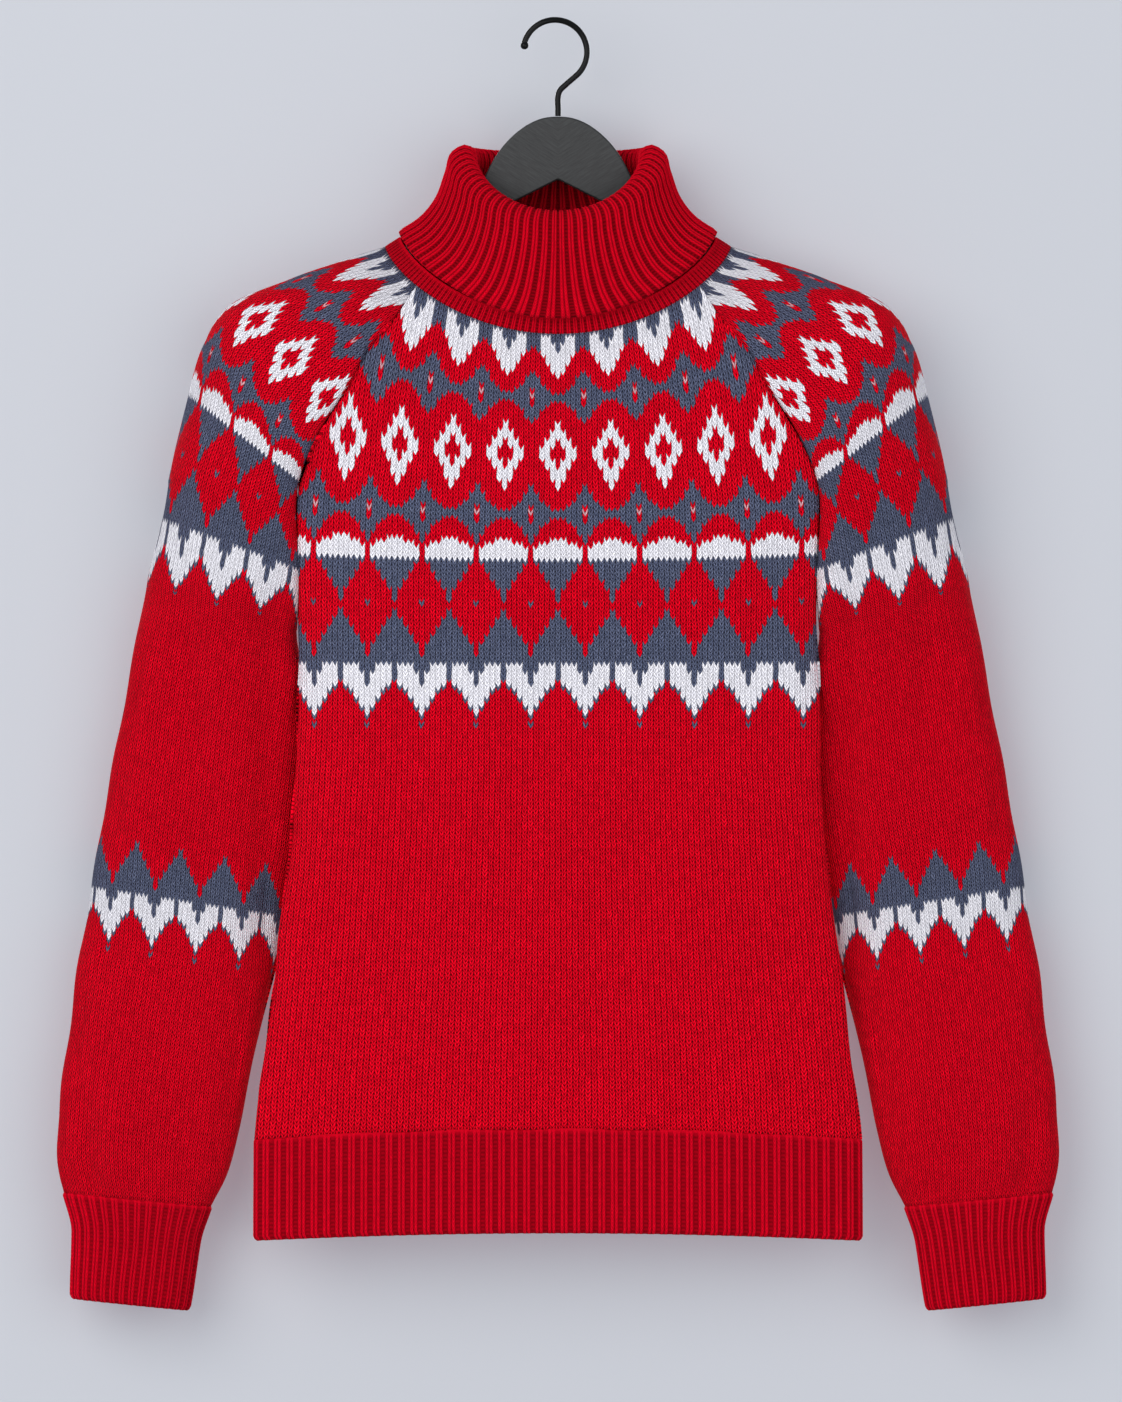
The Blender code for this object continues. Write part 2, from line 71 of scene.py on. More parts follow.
WIRE, HOOK_RADIUS, HOOK_SHIFT, BALL, BALL_BELOW = 3.9, 20.8, -2.0, 5.4, 2.2

# ------------------------------------------------------------------- colours
RED = (0.840, 0.0006, 0.0140)
# The next two reds are the same red yarn as RED, made darker: painted shade of
# the ribbed cloth and of the collar's fold.
RED_RIB_SHADED = (0.610, 0.0006, 0.0120)
RED_COLLAR_SHADED = (0.620, 0.0006, 0.0115)
SLATE = (0.072, 0.088, 0.150)
SLATE_PALE = (0.250, 0.280, 0.400)
WHITE = (0.975, 0.950, 1.000)
PINK = (0.740, 0.360, 0.400)
STAIN = (0.0170, 0.0176, 0.0176)
LACQUER = (0.0020, 0.0022, 0.0022)
LACQUER_PALE = (0.0040, 0.0044, 0.0044)

Ring = namedtuple("Ring", "side_x side_drop front_y front_drop"
                          " back_y back_drop round dip")
NECK_EDGE = Ring(112.5, 145.6, -34.0, 203.0, 30.0, 160.0, 2.6, 1.45)
RAGLAN_ANGLE = math.asin((RAGLAN_X / NECK_EDGE.side_x)
                         ** (NECK_EDGE.round / 2.0))
BAND_TOP = Ring(102.5, 139.2, -34.6, 191.3, 30.4, 148.8, 2.6, 1.45)
COLLAR = [  # the ribbed face: up inside the neck, over the fold, down outside
    Ring(100.4, 141.2, -31.8, 190.4, 27.6, 147.9, 2.6, 1.45),
    Ring(71.0, 120.5, -33.0, 153.0, 28.0, 118.0, 2.5, 1.25),
    Ring(58.5, 104.0, -34.2, 138.0, 28.5, 102.0, 2.4, 1.10),
    Ring(53.6, 92.0, -35.5, 129.5, 29.2, 94.0, 2.3, 1.05),
    Ring(54.6, 83.4, -38.5, 124.6, 32.2, 86.2, 2.3, 1.10),
    Ring(60.2, 80.2, -43.5, 123.8, 37.0, 84.0, 2.3, 1.15),
    Ring(67.8, 83.8, -47.6, 128.5, 41.0, 89.0, 2.3, 1.15),
    Ring(72.6, 97.0, -48.6, 143.0, 42.0, 102.0, 2.3, 1.20),
    Ring(79.2, 114.5, -46.5, 163.0, 41.0, 120.0, 2.4, 1.35),
    Ring(89.6, 127.2, -43.4, 180.0, 39.4, 137.0, 2.5, 1.45),
    Ring(103.6, 136.4, -41.2, 193.0, 37.8, 151.0, 2.6, 1.55),
]

# A course across a panel, as in the solids, with its number of courses from
# the neck edge and the width of one repeat of the pattern there.  Ribbing has
# no pattern and ignores the width.
Course = namedtuple("Course", "v repeat end_x end_drop end_y rise mid_y edge")
FRONT = [
    Course(6.6, 32.3, 106.6, 193.7, -29.0, 27.0, -36.5, 0.90),
    Course(13.6, 33.3, 123.9, 213.2, -32.5, 26.6, -38.5, 0.85),
    Course(19.7, 33.9, 135.2, 235.3, -34.0, 20.8, -40.0, 0.80),
    Course(26.2, 34.2, 148.7, 257.4, -33.5, 16.3, -41.0, 0.70),
    Course(32.7, 34.4, 160.5, 278.2, -30.5, 13.0, -42.0, 0.60),
    Course(39.6, 35.0, 168.6, 301.0, -25.5, 8.8, -42.0, 0.50),
    Course(49.0, 35.3, 169.2, 330.2, -18.0, 5.2, -42.0, 0.45),
    Course(57.9, 35.4, 169.2, 356.2, -12.0, 3.2, -42.0, 0.42),
    Course(65.9, 35.4, 169.2, 379.0, -8.0, 2.0, -42.0, 0.40),
    Course(76.4, 35.4, 169.4, 408.2, -8.0, 1.0, -41.5, 0.40),
    Course(88.0, 35.4, 169.6, 440.7, -8.0, 0.0, -41.0, 0.40),
    Course(102.5, 35.5, 170.6, 479.7, -8.0, 0.0, -40.0, 0.40),
    Course(119.3, 36.0, 174.2, 525.2, -7.6, 0.0, -39.0, 0.40),
    Course(136.2, 36.8, 178.8, 570.7, -7.2, 0.0, -37.5, 0.40),
    Course(152.7, 37.6, 183.9, 616.2, -6.8, -1.0, -36.0, 0.40),
    Course(168.8, 38.6, 190.0, 661.7, -6.4, -3.0, -34.0, 0.40),
    Course(180.1, 39.2, 194.5, 694.2, -6.2, -5.0, -32.5, 0.40),
    Course(191.3, 39.6, 197.3, 726.7, -6.0, -7.0, -31.0, 0.40),
]
BACK = [  # the back neck is higher, so some plain courses come first
    Course(-2.9, 32.3, 104.0, 171.0, 26.0, 7.0, 33.0, 0.90),
    Course(4.2, 33.3, 120.0, 192.4, 29.0, 6.5, 35.0, 0.85),
    Course(11.5, 33.9, 133.5, 214.5, 31.0, 6.0, 35.5, 0.80),
    Course(19.7, 34.2, 147.0, 239.2, 31.0, 5.5, 35.0, 0.70),
    Course(27.9, 34.4, 158.5, 263.9, 30.0, 5.0, 34.0, 0.62),
    Course(37.0, 35.0, 168.0, 291.2, 26.0, 4.5, 33.0, 0.55),
    Course(47.8, 35.3, 169.2, 323.7, 16.0, 4.0, 32.0, 0.50),
    Course(57.4, 35.4, 169.2, 353.0, 4.0, 3.0, 31.0, 0.50),
    Course(65.9, 35.4, 169.2, 379.0, -8.0, 2.0, 30.0, 0.50),
    Course(76.4, 35.4, 169.4, 408.2, -8.0, 1.0, 29.5, 0.50),
    Course(88.0, 35.4, 169.6, 440.7, -8.0, 0.0, 29.0, 0.50),
    Course(102.5, 35.5, 170.6, 479.7, -8.0, 0.0, 28.5, 0.50),
    Course(119.3, 36.0, 174.2, 525.2, -7.6, 0.0, 28.0, 0.50),
    Course(136.2, 36.8, 178.8, 570.7, -7.2, 0.0, 27.0, 0.50),
    Course(152.7, 37.6, 183.9, 616.2, -6.8, -1.0, 26.0, 0.50),
    Course(168.8, 38.6, 190.0, 661.7, -6.4, -3.0, 24.5, 0.50),
    Course(180.1, 39.2, 194.5, 694.2, -6.2, -5.0, 23.0, 0.50),
    Course(191.3, 39.6, 197.3, 726.7, -6.0, -7.0, 22.0, 0.50),
]
BACK_NECK_COURSE = -9.0
NECK_REPEAT = 31.4        # width of one repeat at the neck edge
HEM_FRONT = [
    Course(0.0, 39.6, 197.3, 727.0, -6.0, -7.0, -31.0, 0.40),
    Course(27.0, 39.6, 197.6, 789.4, -6.0, -5.2, -28.5, 0.40),
    Course(28.6, 39.6, 195.8, 792.4, -6.0, -5.2, -27.0, 0.40),
]
HEM_BACK = [
    Course(0.0, 39.6, 197.3, 727.0, -6.0, -7.0, 22.0, 0.50),
    Course(27.0, 39.6, 197.6, 789.4, -6.0, -5.2, 20.0, 0.50),
    Course(28.6, 39.6, 195.8, 792.4, -6.0, -5.2, 18.6, 0.50),
]

# The fold along a sleeve's top above the underarm, with the course there, how
# far a repeat's centre lies in front of the fold, and the width of a repeat.
Ridge = namedtuple("Ridge", "v motif repeat x drop y swell_front swell_back")
RIDGE = [
    Ridge(7.6, 35.5, 25.0, 142.8, 155.4, 0.0, 2.0, 2.0),
    Ridge(14.0, 39.5, 29.5, 163.5, 162.5, 0.0, 4.0, 4.0),
    Ridge(22.4, 45.0, 33.0, 188.5, 172.9, 0.5, 7.0, 7.0),
    Ridge(32.0, 52.8, 35.2, 214.5, 185.9, 2.0, 10.0, 10.0),
    Ridge(42.9, 53.0, 34.0, 230.8, 209.3, 4.0, 13.0, 13.5),
    Ridge(55.7, 51.0, 31.5, 241.2, 246.4, 7.0, 16.0, 18.5),
    Ridge(68.1, 46.5, 31.0, 252.2, 288.6, 10.0, 19.0, 25.0),
    Ridge(79.5, 45.7, 30.0, 258.7, 323.1, 12.5, 20.0, 32.0),
    Ridge(87.7, 47.1, 29.2, 265.9, 353.6, 14.5, 20.0, 38.0),
]
SLEEVE_NECK = (0.0, 35.0, 22.5)  # the same three at the neck edge
# A closed ring round an arm, with the same three; a cuff has no pattern.
Arm = namedtuple("Arm", "v motif repeat out_x out_drop in_x in_drop"
                        " in_y out_y half_depth")
ARM = [
    Arm(99.5, 48.4, 29.0, 269.8, 375.7, 169.0, 402.5, 7.0, 15.0, 28.5),
    Arm(111.8, 49.6, 29.0, 276.3, 408.2, 162.5, 436.2, 17.0, 16.0, 28.0),
    Arm(124.1, 50.8, 29.0, 282.8, 440.7, 163.8, 468.0, 18.0, 17.0, 27.0),
    Arm(142.4, 52.8, 29.2, 291.5, 489.5, 167.7, 513.5, 18.0, 18.0, 26.0),
    Arm(160.9, 54.7, 29.2, 300.3, 538.2, 174.2, 559.0, 18.0, 18.0, 25.0),
    Arm(183.7, 59.5, 29.0, 309.4, 596.7, 184.0, 614.3, 17.0, 17.0, 25.0),
    Arm(204.8, 60.0, 29.0, 318.5, 655.2, 198.6, 670.8, 15.0, 15.0, 25.0),
    Arm(224.2, 60.0, 29.0, 325.0, 707.2, 207.7, 720.9, 13.0, 13.0, 25.0),
    Arm(235.8, 59.0, 28.0, 326.3, 738.4, 215.8, 751.4, 12.0, 12.0, 24.0),
    Arm(244.6, 55.0, 25.0, 321.8, 761.8, 226.2, 770.9, 10.0, 10.0, 20.0),
]
CUFF = [
    Arm(0.0, 0, 1, 321.8, 762.1, 226.2, 771.2, 10.0, 10.0, 19.8),
    Arm(10.0, 0, 1, 315.9, 786.5, 233.4, 793.0, 9.0, 9.0, 17.0),
    Arm(27.0, 0, 1, 317.0, 827.4, 240.0, 835.2, 8.0, 8.0, 16.0),
    Arm(28.6, 0, 1, 315.4, 830.7, 241.6, 838.2, 8.0, 8.0, 14.6),
]

# Soft troughs: from one point to another on the front (-1) or back (1), by
# x and drop, with depth and half width.  A negative depth is a ridge.
Fold = namedtuple("Fold", "face x0 drop0 x1 drop1 depth wide")
BODY_FOLDS = [
    Fold(-1, -148, 330, -120, 420, 1.6, 14),
    Fold(-1, 150, 335, 124, 430, 1.5, 14),
    Fold(-1, -96, 560, -70, 690, 1.1, 22),
    Fold(-1, -26, 500, -34, 660, 0.8, 20),
    Fold(-1, 60, 520, 78, 700, 1.0, 24),
    Fold(-1, 132, 600, 150, 720, 1.2, 18),
    Fold(1, -140, 340, -100, 470, 1.8, 16),
    Fold(1, 140, 345, 104, 480, 1.7, 16),
    Fold(1, -60, 520, -76, 700, 1.2, 24),
    Fold(1, 40, 540, 52, 700, 1.1, 24),
    Fold(1, 130, 600, 150, 715, 1.2, 18),
]
ARM_FOLDS = [
    Fold(-1, 243, 345, 236, 470, 2.0, 9),
    Fold(-1, 229, 350, 224, 440, -1.2, 8),
    Fold(-1, 188, 370, 193, 620, 5.2, 10),
    Fold(-1, 308, 700, 303, 765, 3.0, 7),
    Fold(-1, 288, 695, 286, 762, -1.4, 9),
    Fold(-1, 268, 722, 266, 768, 1.4, 7),
    Fold(-1, 246, 716, 244, 769, 1.0, 8),
    Fold(1, 250, 350, 240, 480, 2.2, 11),
    Fold(1, 215, 390, 210, 480, 1.6, 12),
    Fold(1, 302, 690, 298, 764, 2.6, 8),
    Fold(1, 268, 700, 266, 766, 1.8, 9),
    Fold(1, 240, 710, 240, 770, 1.2, 8),
]

# The yoke's pattern, one string for each course from the neck edge down.  The
# six letters are the stitches from a repeat's centre to half way to the next
# one's: w white, s slate, p pink, and a dot for red.  Both ends are mirrored.
CHART = """
ssssss sswwss sswwss swwwss swwws. wwww.. www... www... ww.... ww....
w....s ....ss ....ss ...sss ..sss. sssssp sssss. ..sss. ...sss ....ss
....ss .....s w..... w..... ww.... ww.... .ww... .ww... ..ww.. ..ww..
..ww.. .ww... .ww... ww.... ww.... ww.... w..... w....s .....s ....ss
....ss ...sss ..sss. sssssp sssss. ..sss. ...sss ....ss ....ss .....s
ww...s wwww.. wwwww. wwwww. wwwww. sssss. ssss.. ssss.. sss... sss...
ss.... ss.... s..... s..... s..... .....s ...... s..... s..... ss....
ss.... sss... sss... ssss.. ssss.. sssss. sssss. sssss. ssssss ssssss
swwwss swwwss swwwws swwwws .wwwws .swwww ..swww ...www ...sww ....ww
....sw .....w .....s ...... .....s
""".split()
CHART_SPAN = len(CHART) + 2.0
BAND_COURSES = (157, 91)  # from 157 down a sleeve repeats what lies 91 above
ZIGZAG_COURSE = 79        # from here to 157 it is half a repeat further round
YARNS = {".": RED, "s": SLATE, "w": WHITE, "p": PINK}

BAR_TOP = [(0.0, 61.1), (9.0, 61.9), (18.0, 65.3), (25.5, 70.2), (32.0, 76.0),
           (37.3, 82.2), (43.5, 91.8), (48.6, 101.4), (55.0, 110.5),
           (64.0, 120.2), (76.0, 130.4), (92.0, 140.8), (112.0, 150.8)]
BAR_TIP = [(203.6, 186.6), (206.0, 190.5), (205.0, 194.6), (201.0, 196.4)]
BAR_UNDER = [(160.0, 180.5), (112.0, 163.5), (88.0, 151.0), (60.0, 133.6),
             (30.0, 117.2), (0.0, 102.0)]
HOOK_BEND = [(0.0, 60.7), (0.0, 55.0), (0.0, 48.0), (1.1, 44.2), (4.6, 40.6)]
BOW_DEGREES, BEAD_DEGREES = range(-54, 163, 12), range(46, 181, 9)


# -------------------------------------------------------------- form helpers
def power(base, exponent):
    """A power that treats rounding errors below zero as zero."""
    return np.maximum(base, 0.0) ** exponent


def points(x, y, drop):
    """Points in metres from millimetres."""
    return np.stack(np.broadcast_arrays(x, y, -np.asarray(drop, float)),
                    axis=-1) * MM


def ring_points(ring, angles):
    """Points on a neck ring; angle 0 is the front, 90 degrees is +X."""
    e = 2.0 / ring.round
    s, c = np.sin(angles), np.cos(angles)
    x = ring.side_x * np.sign(s) * power(abs(s), e)
    deep = np.where(c >= 0, ring.front_y, ring.back_y)
    fall = np.where(c >= 0, ring.front_drop, ring.back_drop) - ring.side_drop
    low = power(1.0 - (x / ring.side_x) ** 2, ring.dip / 2.0)
    return points(x, deep * power(abs(c), e), ring.side_drop + fall * low)


def course_points(course, s, curve):
    """Points along a panel's course; s runs from -1 to 1 across it."""
    swell = power(1.0 - abs(s) ** curve, course.edge)
    y = course.end_y + (course.mid_y - course.end_y) * swell
    return points(course.end_x * s, y,
                  course.end_drop + course.rise * (1.0 - s * s))


def arm_curve(inner, outer, swell, u, closed):
    """Half of a sleeve's section, from its inner to its outer edge.

    It goes from a fold over a shoulder (closed 0) to half a tube (closed 1).
    """
    c = ((1.0 - closed) * np.sin(PI * u / 2.0)
         + closed * (1.0 - np.cos(PI * u)) / 2.0)
    fold = power(1.0 - c ** RIDGE_CURVE, 1.0 / RIDGE_CURVE)
    tube = power(1.0 - abs(2.0 * c - 1.0) ** TUBE_CURVE, 1.0 / TUBE_CURVE)
    p = inner + (outer - inner) * c[:, None]
    p[:, 1] = outer[1] + (inner[1] - outer[1]) * fold + swell * MM * tube
    return p


def arm_points(arm, u):
    """A closed arm ring: u 0 inner edge, 1 outer edge, 2 inner edge again."""
    inner = points(arm.in_x, arm.in_y, arm.in_drop)
    outer = points(arm.out_x, arm.out_y, arm.out_drop)
    front = arm_curve(inner, outer, -arm.half_depth, u[u <= 1.0], 1.0)
    back = arm_curve(inner, outer, arm.half_depth, 2.0 - u[u > 1.0], 1.0)
    return np.concatenate([front, back])


def smooth_rows(rows, at, fine, tight=False):
    """Cubic rows between the given ones, at each value of fine."""
    rows, at = np.asarray(rows), np.asarray(at, float)
    shape = (-1,) + (1,) * (rows.ndim - 1)
    step = np.diff(at).reshape(shape)
    slope = np.diff(rows, axis=0) / step
    mid = ((slope[:-1] * step[1:] + slope[1:] * step[:-1])
           / (step[1:] + step[:-1]))
    if tight:  # no overshoot where a long step meets a short one
        same = slope[:-1] * slope[1:] > 0
        small = np.minimum(abs(slope[:-1]), abs(slope[1:]))
        mid = np.where(same, np.sign(slope[1:]) * small, 0.0)
    tangent = np.concatenate([slope[:1], mid, slope[-1:]])
    i = np.clip(np.searchsorted(at, fine, side="right") - 1, 0, len(at) - 2)
    h = (at[i + 1] - at[i]).reshape(shape)
    t = ((fine - at[i]) / (at[i + 1] - at[i])).reshape(shape)
    return ((2 * t**3 - 3 * t**2 + 1) * rows[i]
            + (t**3 - 2 * t**2 + t) * h * tangent[i]
            + (3 * t**2 - 2 * t**3) * rows[i + 1]
            + (t**3 - t**2) * h * tangent[i + 1])


def outward(grid, closed=False):
    """Unit directions out of the surface."""
    down = np.gradient(grid, axis=0)
    if closed:
        across = np.roll(grid, -1, axis=1) - np.roll(grid, 1, axis=1)
    else:
        across = np.gradient(grid, axis=1)
    n = np.cross(down, across)
    return n / np.maximum(np.linalg.norm(n, axis=2, keepdims=True), 1e-12)


def run_across(grid, depth=1.0):
    """Length along each row from its first point, with Y weighed down."""
    step = np.linalg.norm(np.diff(grid, axis=1) * (1.0, depth, 1.0), axis=2)
    return np.concatenate([np.zeros((len(grid), 1)),
                           np.cumsum(step, axis=1)], axis=1) / MM


WAVES = 9


def uneven(grid, seed, size, height):
    """Slow unevenness of hanging knitting, as a sum of long waves."""
    rng = np.random.default_rng(seed)
    total = np.zeros(grid.shape[:2])
    for _ in range(WAVES):
        a = rng.uniform(0, 2 * PI)
        k = 2 * PI / (size * rng.uniform(0.6, 1.6))
        total += np.sin(k / MM * (grid[..., 0] * math.cos(a)
                                  + grid[..., 2] * math.sin(a))
                        + 2.0 * np.sign(grid[..., 1]) + rng.uniform(0, 6))
    return total / math.sqrt(WAVES) * height


def fold_depth(grid, folds):
    """How far the soft troughs sink the surface."""
    x, drop = grid[..., 0] / MM, -grid[..., 2] / MM
    side = np.where(outward(grid)[..., 1] < 0, -1, 1)
    total = np.zeros(x.shape)
    for f in folds:
        dx, dz = f.x1 - f.x0, f.drop1 - f.drop0
        along = ((x - f.x0) * dx + (drop - f.drop0) * dz) / (dx*dx + dz*dz)
        off = ((x - f.x0) * dz - (drop - f.drop0) * dx) / math.hypot(dx, dz)
        ends = np.clip(np.minimum(along, 1.0 - along) * 3.0 + 0.5, 0, 1)
        ends = ends * ends * (3 - 2 * ends)
        here = side == f.face
        total += f.depth * np.exp(-(off / f.wide) ** 2) * ends * here
    return total


def push(grid, amount, closed=False):
    """Moves the surface out along its own direction, in millimetres."""
    return grid + outward(grid, closed) * (amount * MM)[..., None]


def mirrored(grid, u):
    """The same piece on the other side, with its stitches in order."""
    return grid[:, ::-1] * np.array([-1.0, 1.0, 1.0]), u[:, ::-1]


def add_object(name, data):
    thing = bpy.data.objects.new(name, data)
    bpy.context.scene.collection.objects.link(thing)
    return thing


# ------------------------------------------------------------------- shaders
def math_method(kind):
    """A method of Value that adds one math node."""
    return lambda value, *others: value.op(kind, *others)


class Value:
    """A shader value, so that a formula makes its math nodes."""

    def __init__(self, tree, socket):
        self.tree, self.socket = tree, socket

    def op(self, kind, *others):
        node = self.tree.nodes.new("ShaderNodeMath")
        node.operation = kind
        for slot, v in zip(node.inputs, (self,) + others):
            if isinstance(v, Value):
                self.tree.links.new(v.socket, slot)
            else:
                slot.default_value = v
        return Value(self.tree, node.outputs[0])

    __add__ = math_method('ADD')
    __sub__ = math_method('SUBTRACT')
    __mul__ = math_method('MULTIPLY')
    __truediv__ = math_method('DIVIDE')
    __pow__ = math_method('POWER')
    floor = math_method('FLOOR')
    frac = math_method('FRACT')
    abs = math_method('ABSOLUTE')
    sin = math_method('SINE')
    mod = math_method('FLOORED_MODULO')
    over = math_method('GREATER_THAN')
    least = math_method('MINIMUM')
    most = math_method('MAXIMUM')

    def rest(self):
        """What is left up to one."""
        return self * -1.0 + 1.0


class Shader:
    """A material and short ways to add nodes to it."""

    def __init__(self, name, roughness):
        self.material = bpy.data.materials.new(name)
        self.material.use_nodes = True
        self.tree = self.material.node_tree
        self.bsdf = self.tree.nodes["Principled BSDF"]
        self.set({"Roughness": roughness})

    def set(self, values):
        """Plain numbers and colours on the shader's own sockets."""
        for socket, value in values.items():
            self.bsdf.inputs[socket].default_value = value

    def new(self, kind, **settings):
        node = self.tree.nodes.new(kind)
        for k, v in settings.items():
            setattr(node, k, v)
        return node

    def link(self, a, b):
        self.tree.links.new(a.socket if isinstance(a, Value) else a, b)

    def value(self, socket):
        return Value(self.tree, socket)

    def mix(self, factor, a, b, blend='MIX'):
        node = self.new("ShaderNodeMix", data_type='RGBA', blend_type=blend)
        for slot, v in ((node.inputs[0], factor), (node.inputs[6], a),
                        (node.inputs[7], b)):
            if isinstance(v, (int, float)):
                slot.default_value = v
            elif isinstance(v, tuple):
                slot.default_value = (*v, 1.0)
            else:
                self.link(v, slot)
        return node.outputs[2]

    def grey(self, value):
        """A colour with the value in all three channels."""
        node = self.new("ShaderNodeCombineColor")
        for slot in node.inputs[:3]:
            self.link(value, slot)
        return node.outputs[0]

    def noise(self, scale, detail=2.0, roughness=0.5, stretch=None):
        coords = self.new("ShaderNodeTexCoord")
        node = self.new("ShaderNodeTexNoise")
        node.inputs["Scale"].default_value = scale
        node.inputs["Detail"].default_value = detail
        node.inputs["Roughness"].default_value = roughness
        source = coords.outputs["Object"]
        if stretch:
            mapping = self.new("ShaderNodeMapping")
            mapping.inputs["Scale"].default_value = stretch
            self.link(source, mapping.inputs[0])
            source = mapping.outputs[0]
        self.link(source, node.inputs["Vector"])
        return self.value(node.outputs[0])

    def knitting(self):
        """The stitch coordinates u and v of the surface."""
        uv = self.new("ShaderNodeUVMap", uv_map="stitches")
        parts = self.new("ShaderNodeSeparateXYZ")
        self.link(uv.outputs[0], parts.inputs[0])
        return self.value(parts.outputs[0]), self.value(parts.outputs[1])

    def bump(self, height, distance, strength):
        node = self.new("ShaderNodeBump")
        node.inputs["Strength"].default_value = strength
        node.inputs["Distance"].default_value = distance
        self.link(height, node.inputs["Height"])
        self.link(node.outputs[0], self.bsdf.inputs["Normal"])

    def colour(self, colour):
        self.link(colour, self.bsdf.inputs["Base Color"])


SLANT = 1.15              # how far the legs of a stitch reach up, in courses
WANDER = 0.5              # how far yarn strays, in stitches and in courses
SIDE_GAP, END_GAP = 0.92, 0.78  # depth of the gaps beside legs and at ends, in relief and as painted shade
PLY = 0.08                # height of the plies twisted round the yarn


def wool_shader(name):
    """Matt wool with a faint reddish sheen."""
    shader = Shader(name, 0.9)
    shader.set({"Specular IOR Level": 0.02, "Sheen Weight": 0.03,
                "Sheen Roughness": 0.5, "Sheen Tint": (1.0, 0.25, 0.30, 1.0)})
    return shader


def stitch(shader, u, v):
    """Height of a knit stitch, its slanted course, and its column.

    side is 0 in the middle of a stitch and 1 between two.  The height falls
    off from the middle of a leg, across it and along it.
    """
    u = u + (shader.noise(170.0) - 0.5) * WANDER
    v = v + (shader.noise(150.0) - 0.5) * WANDER
    shifted = u + 0.5
    side = (shifted.frac() * 2.0 - 1.0).abs()
    course = v + side * SLANT
    across = (side * 2.0 - 1.0).abs() ** 2.0 * (side * 0.35 + 0.65)
    along = (course.frac() * 2.0 - 1.0).abs() ** 2.2
    height = (across * -SIDE_GAP - along * END_GAP + 1.0).most(0.0) ** 0.8
    ply = ((side * 1.5 + course) * (2.0 * PI)).sin() * PLY
    cell = shader.new("ShaderNodeCombineXYZ")
    shader.link(shifted.floor(), cell.inputs[0])
    shader.link(course.floor(), cell.inputs[1])
    pull = shader.new("ShaderNodeTexWhiteNoise", noise_dimensions='2D')
    shader.link(cell.outputs[0], pull.inputs["Vector"])
    loose = shader.value(pull.outputs["Value"]) * 0.40 + 0.80
    return (height + ply) * loose, course, shifted


def chart_column(shader, place, d):
    """One column of the chart, as bands of one colour each."""
    ramp = shader.new("ShaderNodeValToRGB")
    ramp.color_ramp.interpolation = 'CONSTANT'
    stops = ramp.color_ramp.elements
    while len(stops) > 1:
        stops.remove(stops[-1])
    letters = [row[d] for row in CHART] + ["."]
    for j, letter in enumerate(letters):
        if j > 0 and letter == letters[j - 1]:
            continue
        stop = stops.new(j / CHART_SPAN) if j > 0 else stops[0]
        stop.position = j / CHART_SPAN
        stop.color = (*YARNS[letter], 1.0)
    shader.link(place, ramp.inputs[0])
    return ramp.outputs[0]


def charted(shader, course, column, on_sleeve):
    """The yarn of each stitch, from the chart."""
    row = course.floor()
    half = len(CHART[0]) - 1
    if on_sleeve:
        start, back = BAND_COURSES
        lower = row.over(start - 0.5)
        column = column + (row.over(ZIGZAG_COURSE - 0.5) - lower) * half
        row = row - lower * back
    place = (row + 0.5) / CHART_SPAN
    distance = ((column.floor() + half).mod(2 * half) - half).abs()
    colour = chart_column(shader, place, 0)
    for d in range(1, half + 1):
        colour = shader.mix(distance.over(d - 0.5), colour,
                            chart_column(shader, place, d))
    return shader.mix(row.over(-0.5), RED, colour)


def yarn_look(shader, colour, height, deep, pale=0.0):
    """Fibres, uneven dye and painted shade between strands, less in pale yarn.
    """
    # shade multiplies the colour: painted shade where the height is low, down
    # to deep at its darkest; pale yarn raises low, so it gets less painted
    # shade.
    if isinstance(colour, tuple):
        shade = height * (1.0 - deep) + deep
    else:
        parts = shader.new("ShaderNodeSeparateColor")
        shader.link(colour, parts.inputs[0])
        low = shader.value(parts.outputs[1]) * pale + deep
        shade = height + height.rest() * low
    fibre = shader.noise(2400.0, 3.0, 0.65)
    patch, pill = shader.noise(34.0, 2.0), shader.noise(300.0, 2.0)
    tone = (shade * ((fibre - 0.5) * 0.9 + 1.12)
            * ((patch - 0.5) * 0.08 + (pill - 0.5) * 0.24 + 1.0))
    return shader.mix(1.0, colour, shader.grey(tone), 'MULTIPLY'), fibre


def heathered(shader, colour):
    """Paler fibres in the slate yarn only."""
    parts = shader.new("ShaderNodeSeparateColor")
    shader.link(colour, parts.inputs[0])
    slate = shader.value(parts.outputs[0]).over(0.4).rest()
    flecks = (shader.noise(1500.0, 2.0, 0.7) - 0.42) * 2.2
    return shader.mix(flecks.most(0.0).least(1.0) * slate, colour,
                      SLATE_PALE)


def plain_knit(name, on_sleeve):
    """Stocking stitch in the yarns of the chart."""
    shader = wool_shader(name)
    u, v = shader.knitting()
    height, course, column = stitch(shader, u, v)
    colour = heathered(shader, charted(shader, course, column, on_sleeve))
    # The stitch height also sets the colour: painted shade between strands,
    # less in white and pale yarn.
    colour, fibre = yarn_look(shader, colour, height * 1.25, 0.03, 0.55)
    shader.colour(colour)
    shader.bump(height * 0.8 + fibre * 0.2, 0.0014, 1.0)
    return shader.material


